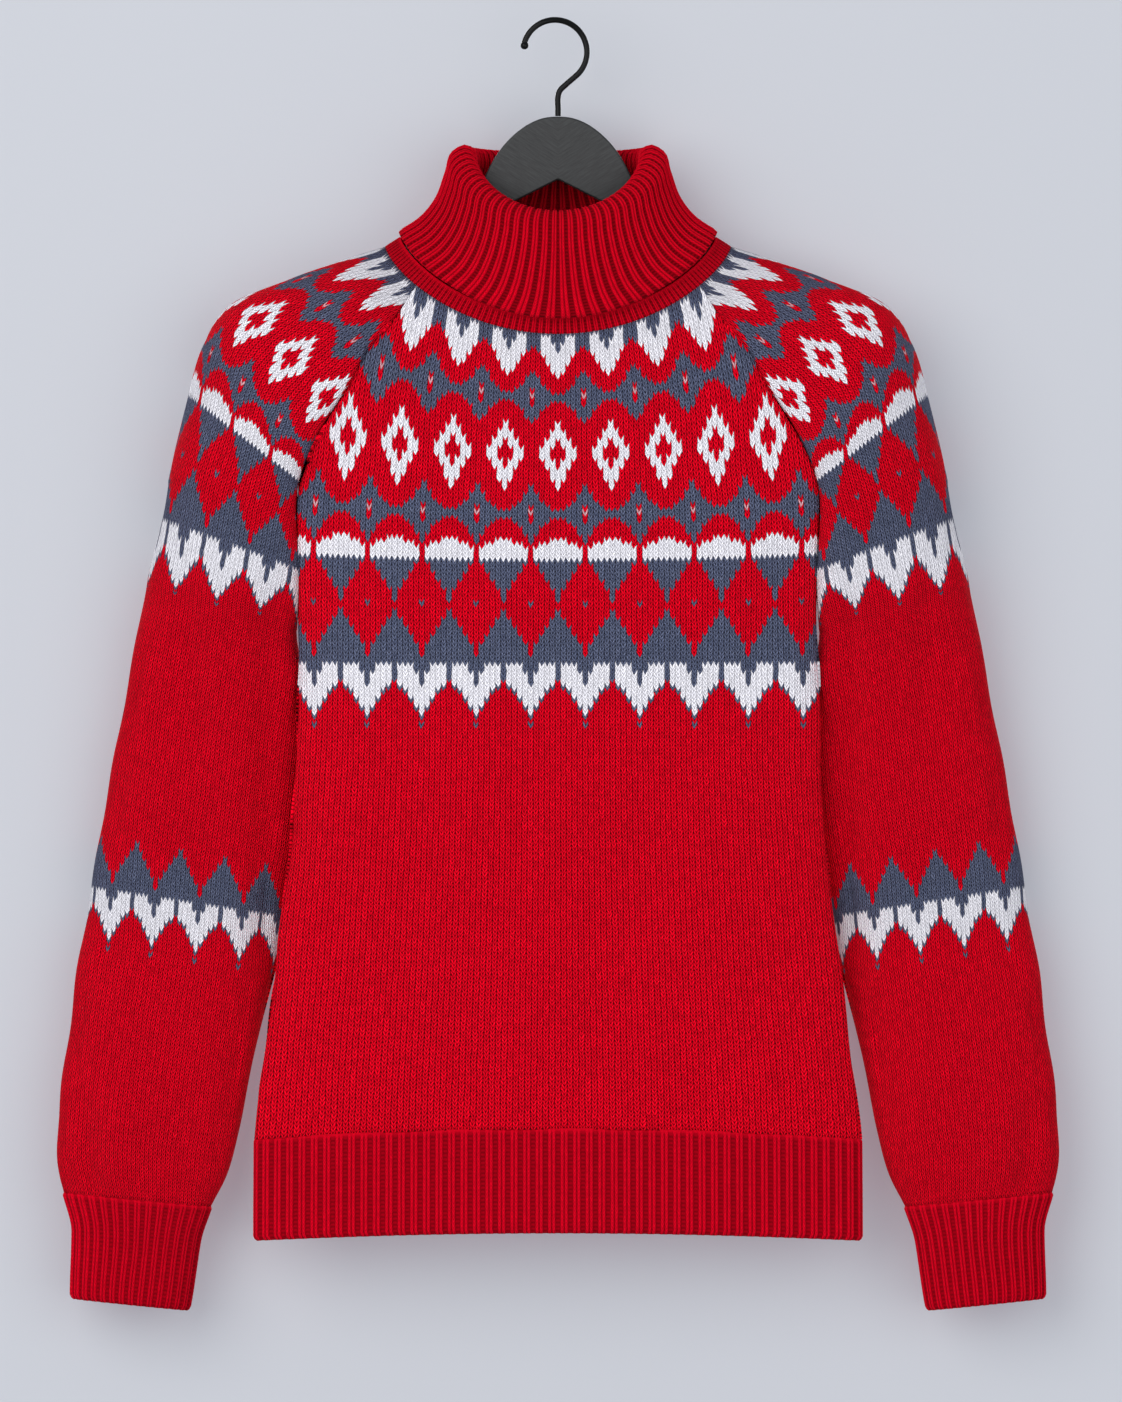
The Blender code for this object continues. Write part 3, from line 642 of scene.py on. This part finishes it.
def rib_knit(name, red, groove):
    """Ribbing: of every four wales, two are knit and two are sunk and purl."""
    shader = wool_shader(name)
    u, v = shader.knitting()
    height, _, _ = stitch(shader, u + 0.5, v)
    wale = u.mod(4.0)
    purl = wale.over(2.0)
    # The sunk purl wales take the groove tone: relief, and painted shade in the
    # grooves.
    bars = (v * (2.0 * PI)).sin() * 0.10 + groove
    off = (u.frac() - 0.5).abs() * 2.0
    # crown is darker towards a wale's edges and a little over full tone at its
    # middle: relief, painted shade between wales and a painted highlight on
    # them.
    crown = (off ** 1.2) * -0.72 + 1.06
    knit = (height * 0.62 + 0.56) * crown
    relief_and_shade = knit * purl.rest() + bars * purl
    first = (v * -0.8 + 1.0).least(1.0).most(0.0)  # the row they start from
    relief_and_shade = relief_and_shade * first.rest() + first * 0.90
    # The relief also sets the colour: painted shade in grooves and gaps.
    colour, fibre = yarn_look(shader, red, relief_and_shade, 0.05)
    shader.colour(colour)
    shader.bump(relief_and_shade * 0.7 + fibre * 0.2, 0.0009, 0.9)
    return shader.material


# ------------------------------------------------------------ knitted pieces
def add_wall(name, grid, u, v, material, thick, closed=False):
    """A knitted piece through a grid of points, with its stitches."""
    node = name.removesuffix("_knit").removesuffix("_ribbing")
    rows, cols = grid.shape[:2]
    r, c = np.meshgrid(np.arange(rows - 1),
                       np.arange(cols if closed else cols - 1),
                       indexing="ij")
    r, c = r.ravel(), c.ravel()
    n = (c + 1) % cols
    faces = np.stack([r * cols + c, (r + 1) * cols + c,
                      (r + 1) * cols + n, r * cols + n], axis=1)
    uv_r = np.stack([r, r + 1, r + 1, r], axis=1).ravel()
    uv_c = np.stack([c, c, c + 1, c + 1], axis=1).ravel()
    mesh = bpy.data.meshes.new(name)
    mesh.vertices.add(rows * cols)
    mesh.vertices.foreach_set("co", grid.astype(np.float32).ravel())
    mesh.loops.add(len(faces) * 4)
    mesh.loops.foreach_set("vertex_index", faces.astype(np.int32).ravel())
    mesh.polygons.add(len(faces))
    mesh.polygons.foreach_set("loop_start",
                              np.arange(0, len(faces) * 4, 4, dtype=np.int32))
    mesh.update(calc_edges=True)
    layer = mesh.uv_layers.new(name="stitches")
    uv = np.stack([u[uv_r, uv_c], v[uv_r, uv_c]], axis=1)
    layer.data.foreach_set("uv", uv.astype(np.float32).ravel())
    mesh.validate()
    mesh.shade_smooth()
    mesh.materials.append(material)
    piece = add_object(name, mesh)
    wall = piece.modifiers.new("thickness", 'SOLIDIFY')
    wall.thickness = thick * MM
    wall.offset = -1.0
    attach(piece, "root")
    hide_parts(node)
    return piece


def rim_roll(run, depth):
    """How far a piece's long edges roll in."""
    rim = np.minimum(run, run[:, -1:] - run)
    return depth * np.exp(-(rim / RIM_WIDE) ** 2)


def make_panel(name, courses, curve, front, material, seed):
    """Front or back, from the neck edge down to the hem rib."""
    tau = np.linspace(-1.0, 1.0, PANEL_CELLS + 1)
    side = 1.0 if front else -1.0
    turn = 0.0 if front else PI
    first = 0.0 if front else BACK_NECK_COURSE
    s = side * np.sin(PI / 2.0 * tau)
    rows = [ring_points(NECK_EDGE, turn + RAGLAN_ANGLE * tau)]
    rows += [course_points(c, s, curve) for c in courses]
    at = [first] + [c.v for c in courses]
    v = np.linspace(at[0], at[-1], PANEL_ROWS)
    grid = smooth_rows(rows, at, v)
    repeat = np.interp(v, at, [NECK_REPEAT] + [c.repeat for c in courses])
    run = run_across(grid, PANEL_DEPTH)
    middle = run[:, PANEL_CELLS // 2][:, None]
    u = (run - middle) / repeat[:, None] * REPEAT_STITCHES
    lift = (uneven(grid, seed, 90.0, 0.9) - fold_depth(grid, BODY_FOLDS)
            - rim_roll(run, RIM_DEPTH))
    ease = np.clip((v - v[0]) / EASE_COURSES, 0.2, 1)
    grid = push(grid, lift * ease[:, None])
    return add_wall(name, grid, u, np.repeat(v[:, None], u.shape[1], 1),
                    material, KNIT)


def sleeve_rows():
    """The left sleeve's rows from the front over the fold to the back."""
    u1 = np.linspace(0.0, 1.0, SLEEVE_CELLS + 1)
    sweep = RAGLAN_ANGLE + (PI / 2.0 - RAGLAN_ANGLE) * u1
    sweep = np.concatenate([sweep, PI - sweep[-2::-1]])
    rows = [ring_points(NECK_EDGE, sweep)]
    one = np.array([1.0])
    for i, ridge in enumerate(RIDGE):
        top = points(ridge.x, ridge.y, ridge.drop)
        front = course_points(FRONT[i], one, FRONT_CURVE)[0]
        back = course_points(BACK[i], one, BACK_CURVE)[0]
        closed = (i + 1.0) / len(RIDGE)
        rows.append(np.concatenate([
            arm_curve(front, top, -ridge.swell_front, u1, closed),
            arm_curve(back, top, ridge.swell_back, u1[-2::-1], closed)]))
    for arm in ARM:
        rows.append(arm_points(arm, np.concatenate([u1, 1.0 + u1[1:]])))
    return rows


def sleeve_wales(run, seen, motif, repeat):
    """Wale numbers that put each row's repeat where it is seen in front."""
    u = np.empty(run.shape)
    half = slice(SLEEVE_CELLS, None, -1)
    for row, (centre, width) in enumerate(zip(motif, repeat)):
        from_fold = seen[row, SLEEVE_CELLS] - seen[row, half]
        low = max(centre - width / 2.0, 0.0)
        high = min(centre + width / 2.0, from_fold[-1])
        centre_run, low_run, high_run = np.interp(
            (centre, low, high), from_fold, run[row, half])
        wale = (low_run - high_run) / (high - low) * width / REPEAT_STITCHES
        u[row] = (centre_run - run[row]) / wale
    return u


def make_sleeve(name, mirror, material, seed):
    """A sleeve from the neck edge down to the cuff."""
    table = [SLEEVE_NECK] + [(r.v, r.motif, r.repeat) for r in RIDGE + ARM]
    at, motif, repeat = (np.array(c) for c in zip(*table))
    v = np.linspace(0.0, at[-1], SLEEVE_ROWS)
    grid = smooth_rows(sleeve_rows(), at, v)
    run = run_across(grid)
    u = sleeve_wales(run, run_across(grid, 0.0), np.interp(v, at, motif),
                     np.interp(v, at, repeat))
    rim_depth = np.where(v < CLOSED_COURSE, RIM_DEPTH, CLOSED_RIM_DEPTH)
    lift = (uneven(grid, seed, 70.0, 1.0) - fold_depth(grid, ARM_FOLDS)
            - rim_roll(run, rim_depth[:, None]))
    ease = (np.clip(v / EASE_COURSES, 0.2, 1)
            * np.clip((v[-1] - v) / CUFF_EASE_COURSES, 0.0, 1))
    grid = push(grid, lift * ease[:, None])
    if mirror:
        grid, u = mirrored(grid, u)
    return add_wall(name, grid, u, np.repeat(v[:, None], u.shape[1], 1),
                    material, KNIT)


def even_steps(curve, low, high, shares):
    """Parameters at the given shares of a curve's length."""
    fine = np.linspace(low, high, 4001)
    run = run_across(curve(fine)[None])[0]
    return np.interp(shares * run[-1], run, fine)


# Where a rib's columns of points stand, and its rows below the cloth above.
RIB_STEPS = np.array([0.0, 0.10, 0.17, 0.24, 0.32, 0.40, 0.46,
                      0.50, 0.54, 0.60, 0.68, 0.76, 0.83, 0.90])
RIB_DOWN = np.concatenate([[-0.5, 0.3], np.linspace(1.2, 26.0, 18),
                           [27.0, 27.9, 28.6]])


def rib_places(ribs):
    """Where the columns of points stand, in ribs, both ends included."""
    places = (np.arange(ribs)[:, None] + RIB_STEPS).ravel()
    return np.append(places, float(ribs))


def rib_form(ribs):
    """Across all ribs: share of the full rib height, and wale numbers.

    A rib is two rounded wales with a shallow groove between, and the wales
    of the sunk ground beside it take up less room.
    """
    t = rib_places(ribs)
    part = t % 1.0
    off = abs(part - 0.5)
    flank = np.clip((0.38 - off) / 0.16, 0, 1)
    flank = flank * flank * (3.0 - 2.0 * flank)
    high = flank * (0.62 + 0.38 * np.exp(-((off - 0.18) / 0.09) ** 2))
    wales = np.interp(part, [0.0, 0.16, 0.84, 1.0], [-1.0, 0.0, 2.0, 3.0])
    return high, wales + 4.0 * np.floor(t)


def make_ribbing(name, rows, at, fine, ribs, closed, material, mirror=False,
                 raised=RIB_RAISED, row=ROW, tight=False):
    """Ribbing through the given rows, whose columns already fit the ribs.

    Where fine starts below zero, the first row is tucked under the cloth above.
    """
    grid = smooth_rows(rows, at, fine, tight)
    high, wales = rib_form(ribs)
    cols = len(high) - 1 if closed else len(high)
    run = np.concatenate([[0.0], np.cumsum(np.linalg.norm(
        np.diff(grid[:, grid.shape[1] // 2], axis=0), axis=1))]) / MM
    end = np.minimum(run, run[-1] - run)
    ease = np.clip(0.35 + end / 3.0, 0, 1)[:, None]
    lift = high[None, :cols] * raised * ease
    if fine[0] < 0.0:
        lift[0] -= RIB_TUCK
    grid = push(grid, lift, closed)
    v = np.repeat((run / row)[:, None], len(wales), 1)
    u = np.repeat(wales[None], len(fine), 0)
    if mirror:
        grid, u = mirrored(grid, u)
    return add_wall(name, grid, u, v, material, RIB_KNIT, closed)


def neck_rows(rings, ribs):
    """Rows around the neck, with wider ribs in front and behind."""
    share = rib_places(ribs) / ribs
    share = share + RIB_WIDEN / (4 * PI) * np.sin(4 * PI * share)
    angles = even_steps(lambda a: ring_points(rings[-1], a), 0.0, 2 * PI,
                        share)[:-1]
    return [ring_points(ring, angles) for ring in rings]


def between(low, high, share):
    """A neck ring at the given share of the way from low to high."""
    return Ring(*(a + (b - a) * share for a, b in zip(low, high)))


def profile_lengths(rings):
    """Lengths along the collar's section, the mean of front and side."""
    p = np.array([(r.front_y, r.front_drop) for r in rings])
    q = np.array([(r.side_x, r.side_drop) for r in rings])
    step = (np.linalg.norm(np.diff(p, axis=0), axis=1)
            + np.linalg.norm(np.diff(q, axis=0), axis=1)) / 2.0
    return np.concatenate([[0.0], np.cumsum(step)])


def make_neck(material):
    """The flat neckband, and the collar that stands in it and rolls out."""
    band = [between(NECK_EDGE, BAND_TOP, s) for s in (0.98, 0.5, 0.0)]
    at = [0.0, BAND_TALL / 2.0, BAND_TALL]
    neckband = make_ribbing(
        "neckband_ribbing", neck_rows(band, BAND_RIBS), at,
        np.linspace(0.0, at[-1], BAND_ROWS), BAND_RIBS, True, material,
        raised=BAND_RAISED, row=NECK_ROW)
    at = profile_lengths(COLLAR)
    collar = make_ribbing(
        "roll_collar_ribbing", neck_rows(COLLAR, COLLAR_RIBS), at,
        np.linspace(0.0, at[-1], COLLAR_ROWS), COLLAR_RIBS, True, material,
        row=NECK_ROW)
    return {"neckband": neckband, "roll_collar": collar}


def make_hems(material):
    """The ribs below front and back, which meet at the side seams."""
    pieces = {}
    for part, courses, curve, side in (
            ("hem_rib_front", HEM_FRONT, FRONT_CURVE, 1.0),
            ("hem_rib_back", HEM_BACK, BACK_CURVE, -1.0)):
        s = side * even_steps(
            lambda t: course_points(courses[1], side * t, curve),
            -1.0, 1.0, rib_places(HEM_RIBS) / HEM_RIBS)
        pieces[part] = make_ribbing(
            part + "_knit", [course_points(c, s, curve) for c in courses],
            [c.v for c in courses], RIB_DOWN, HEM_RIBS, False, material,
            tight=True)
    return pieces


def make_cuffs(material):
    """The ribs below the sleeves, as tubes."""
    steps = even_steps(lambda t: arm_points(CUFF[1], t), 0.0, 2.0,
                       rib_places(CUFF_RIBS) / CUFF_RIBS)[:-1]
    rows = [arm_points(arm, steps) for arm in CUFF]
    at = [arm.v for arm in CUFF]
    return {part: make_ribbing(part + "_knit", rows, at, RIB_DOWN, CUFF_RIBS,
                               True, material, mirror=mirror, tight=True)
            for part, mirror in (("cuff_left", False), ("cuff_right", True))}


def make_knitted_pieces():
    """All knitted pieces, by the names of the nodes that they replace."""
    body_wool = plain_knit("red_patterned_knit", False)
    arm_wool = plain_knit("red_patterned_sleeve_knit", True)
    # The darker ribbing reds and the groove tones passed here are painted shade
    # in the ribs and their grooves.
    ribbing = rib_knit("red_ribbing", RED_RIB_SHADED, 0.34)
    neck_ribbing = rib_knit("red_neck_ribbing", RED_COLLAR_SHADED, 0.21)
    return {
        "front_panel": make_panel("front_panel_knit", FRONT, FRONT_CURVE,
                                  True, body_wool, 3),
        "back_panel": make_panel("back_panel_knit", BACK, BACK_CURVE,
                                 False, body_wool, 5),
        "sleeve_left": make_sleeve("sleeve_left_knit", False, arm_wool, 7),
        "sleeve_right": make_sleeve("sleeve_right_knit", True, arm_wool, 7),
        **make_neck(neck_ribbing),
        **make_hems(ribbing),
        **make_cuffs(ribbing),
    }


# -------------------------------------------------------------------- hanger
def smooth_path(path, per=6):
    """A curve through the points, with the given steps between two."""
    at = np.concatenate([[0.0], np.cumsum(np.linalg.norm(
        np.diff(np.array(path), axis=0), axis=1))])
    fine = np.concatenate([np.linspace(a, b, per, endpoint=False)
                           for a, b in zip(at, at[1:])] + [[at[-1]]])
    return smooth_rows(path, at, fine)


GRAIN_SLANT = 0.62


def wood_shader():
    """Black-stained wood with a fine slanting grain."""
    shader = Shader("black_stained_wood", 0.55)
    coords = shader.new("ShaderNodeTexCoord")
    parts = shader.new("ShaderNodeSeparateXYZ")
    shader.link(coords.outputs["Object"], parts.inputs[0])
    x, y, z = (shader.value(socket) for socket in parts.outputs)
    slanted = shader.new("ShaderNodeCombineXYZ")
    shader.link(z - x.abs() * GRAIN_SLANT, slanted.inputs[0])
    shader.link((z * GRAIN_SLANT + x.abs()) * 0.07, slanted.inputs[1])
    shader.link(y * 0.5, slanted.inputs[2])
    grain = shader.new("ShaderNodeTexNoise")
    grain.inputs["Scale"].default_value = 1100.0
    grain.inputs["Detail"].default_value = 3.0
    shader.link(slanted.outputs[0], grain.inputs["Vector"])
    streaks = shader.value(grain.outputs[0])
    fine = shader.noise(900.0, 4.0, 0.6)
    tone = streaks * 2.6 + fine * 0.7 + shader.noise(14.0) * 0.3 - 0.85
    shader.colour(shader.mix(1.0, STAIN, shader.grey(tone), 'MULTIPLY'))
    shader.bump(streaks * 0.6 + fine * 0.4, 0.00018, 0.7)
    shader.set({"Specular IOR Level": 0.45})
    return shader.material


def steel_shader():
    """Black lacquer over wire, with faint smears."""
    shader = Shader("black_lacquered_steel", 0.14)
    shader.set({"Specular IOR Level": 0.12})
    smear = shader.noise(260.0, 3.0, 0.6, (1.0, 1.0, 0.3))
    shader.colour(shader.mix(smear, LACQUER, LACQUER_PALE))
    shader.bump(smear, 0.00004, 0.4)
    return shader.material


def bar_outline():
    """The bar from in front: over the top, round the tips and below."""
    half = list(BAR_TOP)
    fold = [(r.x, r.drop) for r in RIDGE[:3]]
    for (x0, d0), (x1, d1) in zip(fold, fold[1:]):
        length = math.hypot(x1 - x0, d1 - d0)
        half.append(((x0 + x1) / 2 + (d0 - d1) / length * BAR_BELOW_RIDGE,
                     (d0 + d1) / 2 + (x1 - x0) / length * BAR_BELOW_RIDGE))
    mirror = [(-x, d) for x, d in half[1:3]][::-1]
    top = smooth_path(mirror + half + BAR_TIP)
    top = top[top[:, 0] >= -0.001]
    side = [tuple(p) for p in top] + BAR_UNDER
    return side + [(-x, d) for x, d in reversed(side[1:-1])]


def make_bar():
    """The flat wooden bar, cut along its outline, with rounded edges."""
    shape = bmesh.new()
    verts = [shape.verts.new(Vector((x, BAR_THICK / 2, -d)) * MM)
             for x, d in bar_outline()]
    face = shape.faces.new(verts)
    pushed = bmesh.ops.extrude_face_region(shape, geom=[face])
    moved = [g for g in pushed["geom"] if isinstance(g, bmesh.types.BMVert)]
    bmesh.ops.translate(shape, verts=moved,
                        vec=Vector((0.0, -BAR_THICK * MM, 0.0)))
    bmesh.ops.recalc_face_normals(shape, faces=shape.faces)
    mesh = bpy.data.meshes.new("hanger_bar_wood")
    shape.to_mesh(mesh)
    shape.free()
    mesh.materials.append(wood_shader())
    mesh.shade_smooth()
    mesh.set_sharp_from_angle(angle=math.radians(35.0))
    bar = add_object("hanger_bar_wood", mesh)
    edges = bar.modifiers.new("rounded edges", 'BEVEL')
    edges.width = BAR_EDGE * MM
    edges.segments = 3
    edges.limit_method = 'ANGLE'
    edges.angle_limit = math.radians(50.0)
    edges.harden_normals = True
    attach(bar, "root")
    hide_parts("hanger_bar")


def hook_path():
    """The wire's path by x and drop, and its thickness, with the end bead."""
    centre = HOOK_RADIUS - WIRE / 2.0
    arc = [math.radians(d) for d in BOW_DEGREES]
    bow = [(HOOK_SHIFT + HOOK_RADIUS * math.cos(a),
            centre - HOOK_RADIUS * math.sin(a)) for a in arc]
    path = [tuple(p) for p in smooth_path(HOOK_BEND + bow, 5)]
    thick = [1.0] * len(path)
    tip = path[-1]
    for degrees in BEAD_DEGREES:
        a = math.radians(degrees)
        path.append((tip[0], tip[1] + BALL_BELOW - BALL / 2 * math.cos(a)))
        thick.append(BALL / WIRE * math.sin(a))
    return path, thick


def make_hook():
    """The wire hook, a round tube of changing thickness along its path."""
    path, thick = hook_path()
    curve = bpy.data.curves.new("hanger_hook_wire", 'CURVE')
    curve.dimensions = '3D'
    curve.bevel_depth = WIRE / 2.0 * MM
    curve.bevel_resolution = 6
    curve.use_fill_caps = True
    spline = curve.splines.new('POLY')
    spline.points.add(len(path) - 1)
    for point, (x, d), size in zip(spline.points, path, thick):
        point.co = (x * MM, 0.0, -d * MM, 1.0)
        point.radius = size
    spline.use_smooth = True
    curve.materials.append(steel_shader())
    hook = add_object("hanger_hook_wire", curve)
    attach(hook, "root")
    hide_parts("hanger_hook")


# -------------------------------------------------------------------- studio
# Places and sizes here are in metres.
WALL = (0.380, 0.375, 0.385)
WALL_GLOW = (0.168, 0.190, 0.222)
BACKDROP = (0.600, 0.632, 0.690)
WALL_Y, WALL_HALF, WALL_TOP = 0.050, 2.4, 1.2
FLOOR_Z, FLOOR_HALF = -1.6, 9.0
LIT_POINT = (0.0, 0.0, -0.42)
Light = namedtuple("Light", "name place size watts")
LIGHTS = [
    Light("key", (-1.8, -3.1, 0.6), 3.4, 88.0),
    Light("fill", (1.6, -3.2, -0.7), 3.6, 48.0),
    Light("back_left", (-1.6, 2.9, 0.8), 2.2, 48.0),
    Light("back_right", (1.8, 2.9, 0.3), 2.2, 38.0),
]
BACKDROP_LIGHT = 0.85     # how strongly the backdrop lights the jumper
CAMERA_AWAY, SENSOR = 14.0, 36.0
FRAME_TALL = 0.9113       # height that the picture takes in at the jumper
FRAME_MIDDLE = (0.00195, -0.02, -0.4414)


def glow_shader(name, roughness, colour, glow, strength):
    """A matt surface that glows a little."""
    shader = Shader(name, roughness)
    shader.set({"Base Color": (*colour, 1.0), "Emission Color": (*glow, 1.0),
                "Emission Strength": strength, "Specular IOR Level": 0.1})
    return shader


def add_plane(name, corners, shader):
    """A flat piece of the stage that neither lights nor shows in anything."""
    mesh = bpy.data.meshes.new(name)
    mesh.from_pydata(corners, [], [(0, 1, 2, 3)])
    mesh.materials.append(shader.material)
    plane = add_object(name, mesh)
    plane.visible_diffuse = False
    plane.visible_glossy = False
    return plane


def make_wall():
    """A pale wall close behind the jumper; from behind it isn't seen."""
    shader = glow_shader("pale_wall", 0.95, WALL, WALL_GLOW, 1.0)
    clear = shader.new("ShaderNodeBsdfTransparent")
    side = shader.new("ShaderNodeNewGeometry")
    mix = shader.new("ShaderNodeMixShader")
    out = shader.tree.nodes["Material Output"]
    shader.link(side.outputs["Backfacing"], mix.inputs[0])
    shader.link(shader.bsdf.outputs[0], mix.inputs[1])
    shader.link(clear.outputs[0], mix.inputs[2])
    shader.link(mix.outputs[0], out.inputs[0])
    w, y = WALL_HALF, WALL_Y
    wall = add_plane("wall", [(-w, y, FLOOR_Z), (w, y, FLOOR_Z),
                              (w, y, WALL_TOP), (-w, y, WALL_TOP)], shader)
    wall.visible_shadow = False
    wall.visible_transmission = False
    return wall


def make_floor():
    """A far floor that glows as pale as the backdrop."""
    shader = glow_shader("pale_floor", 0.9, (0.02, 0.02, 0.02), BACKDROP, 0.97)
    w, z = FLOOR_HALF, FLOOR_Z
    return add_plane("floor", [(-w, -w, z), (w, -w, z), (w, w, z), (-w, w, z)],
                     shader)


def make_world():
    """An even pale backdrop that lights a little less than it shows."""
    world = bpy.data.worlds.new("studio")
    world.use_nodes = True
    tree = world.node_tree
    sky = tree.nodes["Background"]
    sky.inputs[0].default_value = (*BACKDROP, 1.0)
    sky.inputs[1].default_value = BACKDROP_LIGHT
    seen = tree.nodes.new("ShaderNodeBackground")
    seen.inputs[0].default_value = (*BACKDROP, 1.0)
    seen.inputs[1].default_value = 1.0
    path = tree.nodes.new("ShaderNodeLightPath")
    mix = tree.nodes.new("ShaderNodeMixShader")
    tree.links.new(path.outputs["Is Camera Ray"], mix.inputs[0])
    tree.links.new(sky.outputs[0], mix.inputs[1])
    tree.links.new(seen.outputs[0], mix.inputs[2])
    tree.links.new(mix.outputs[0], tree.nodes["World Output"].inputs[0])
    return world


def add_light(light):
    """A round soft light that faces the jumper."""
    data = bpy.data.lights.new(light.name, 'AREA')
    data.shape = 'DISK'
    data.size = light.size
    data.energy = light.watts
    lamp = add_object(light.name, data)
    lamp.location = light.place
    aim = Vector(LIT_POINT) - Vector(light.place)
    lamp.rotation_euler = aim.to_track_quat('-Z', 'Y').to_euler()
    lamp.visible_camera = False


def make_studio():
    make_wall()
    make_floor()
    scene = bpy.context.scene
    scene.view_settings.view_transform = 'Standard'
    scene.world = make_world()
    for light in LIGHTS:
        add_light(light)


def make_camera():
    """A long level lens that frames the jumper as in the picture."""
    data = bpy.data.cameras.new("camera")
    data.sensor_width = SENSOR
    data.lens = SENSOR * CAMERA_AWAY / FRAME_TALL
    data.clip_end = 50.0
    camera = add_object("camera", data)
    camera.location = Vector(FRAME_MIDDLE) - Vector((0.0, CAMERA_AWAY, 0.0))
    camera.rotation_euler = (PI / 2, 0.0, 0.0)
    bpy.context.scene.camera = camera


# The form of a knitted piece's flat cut in metres, all round on the tubes.
Cut = namedtuple("Cut", "piece width length area")

make_studio()
make_camera()
knitted = make_knitted_pieces()
make_bar()
make_hook()
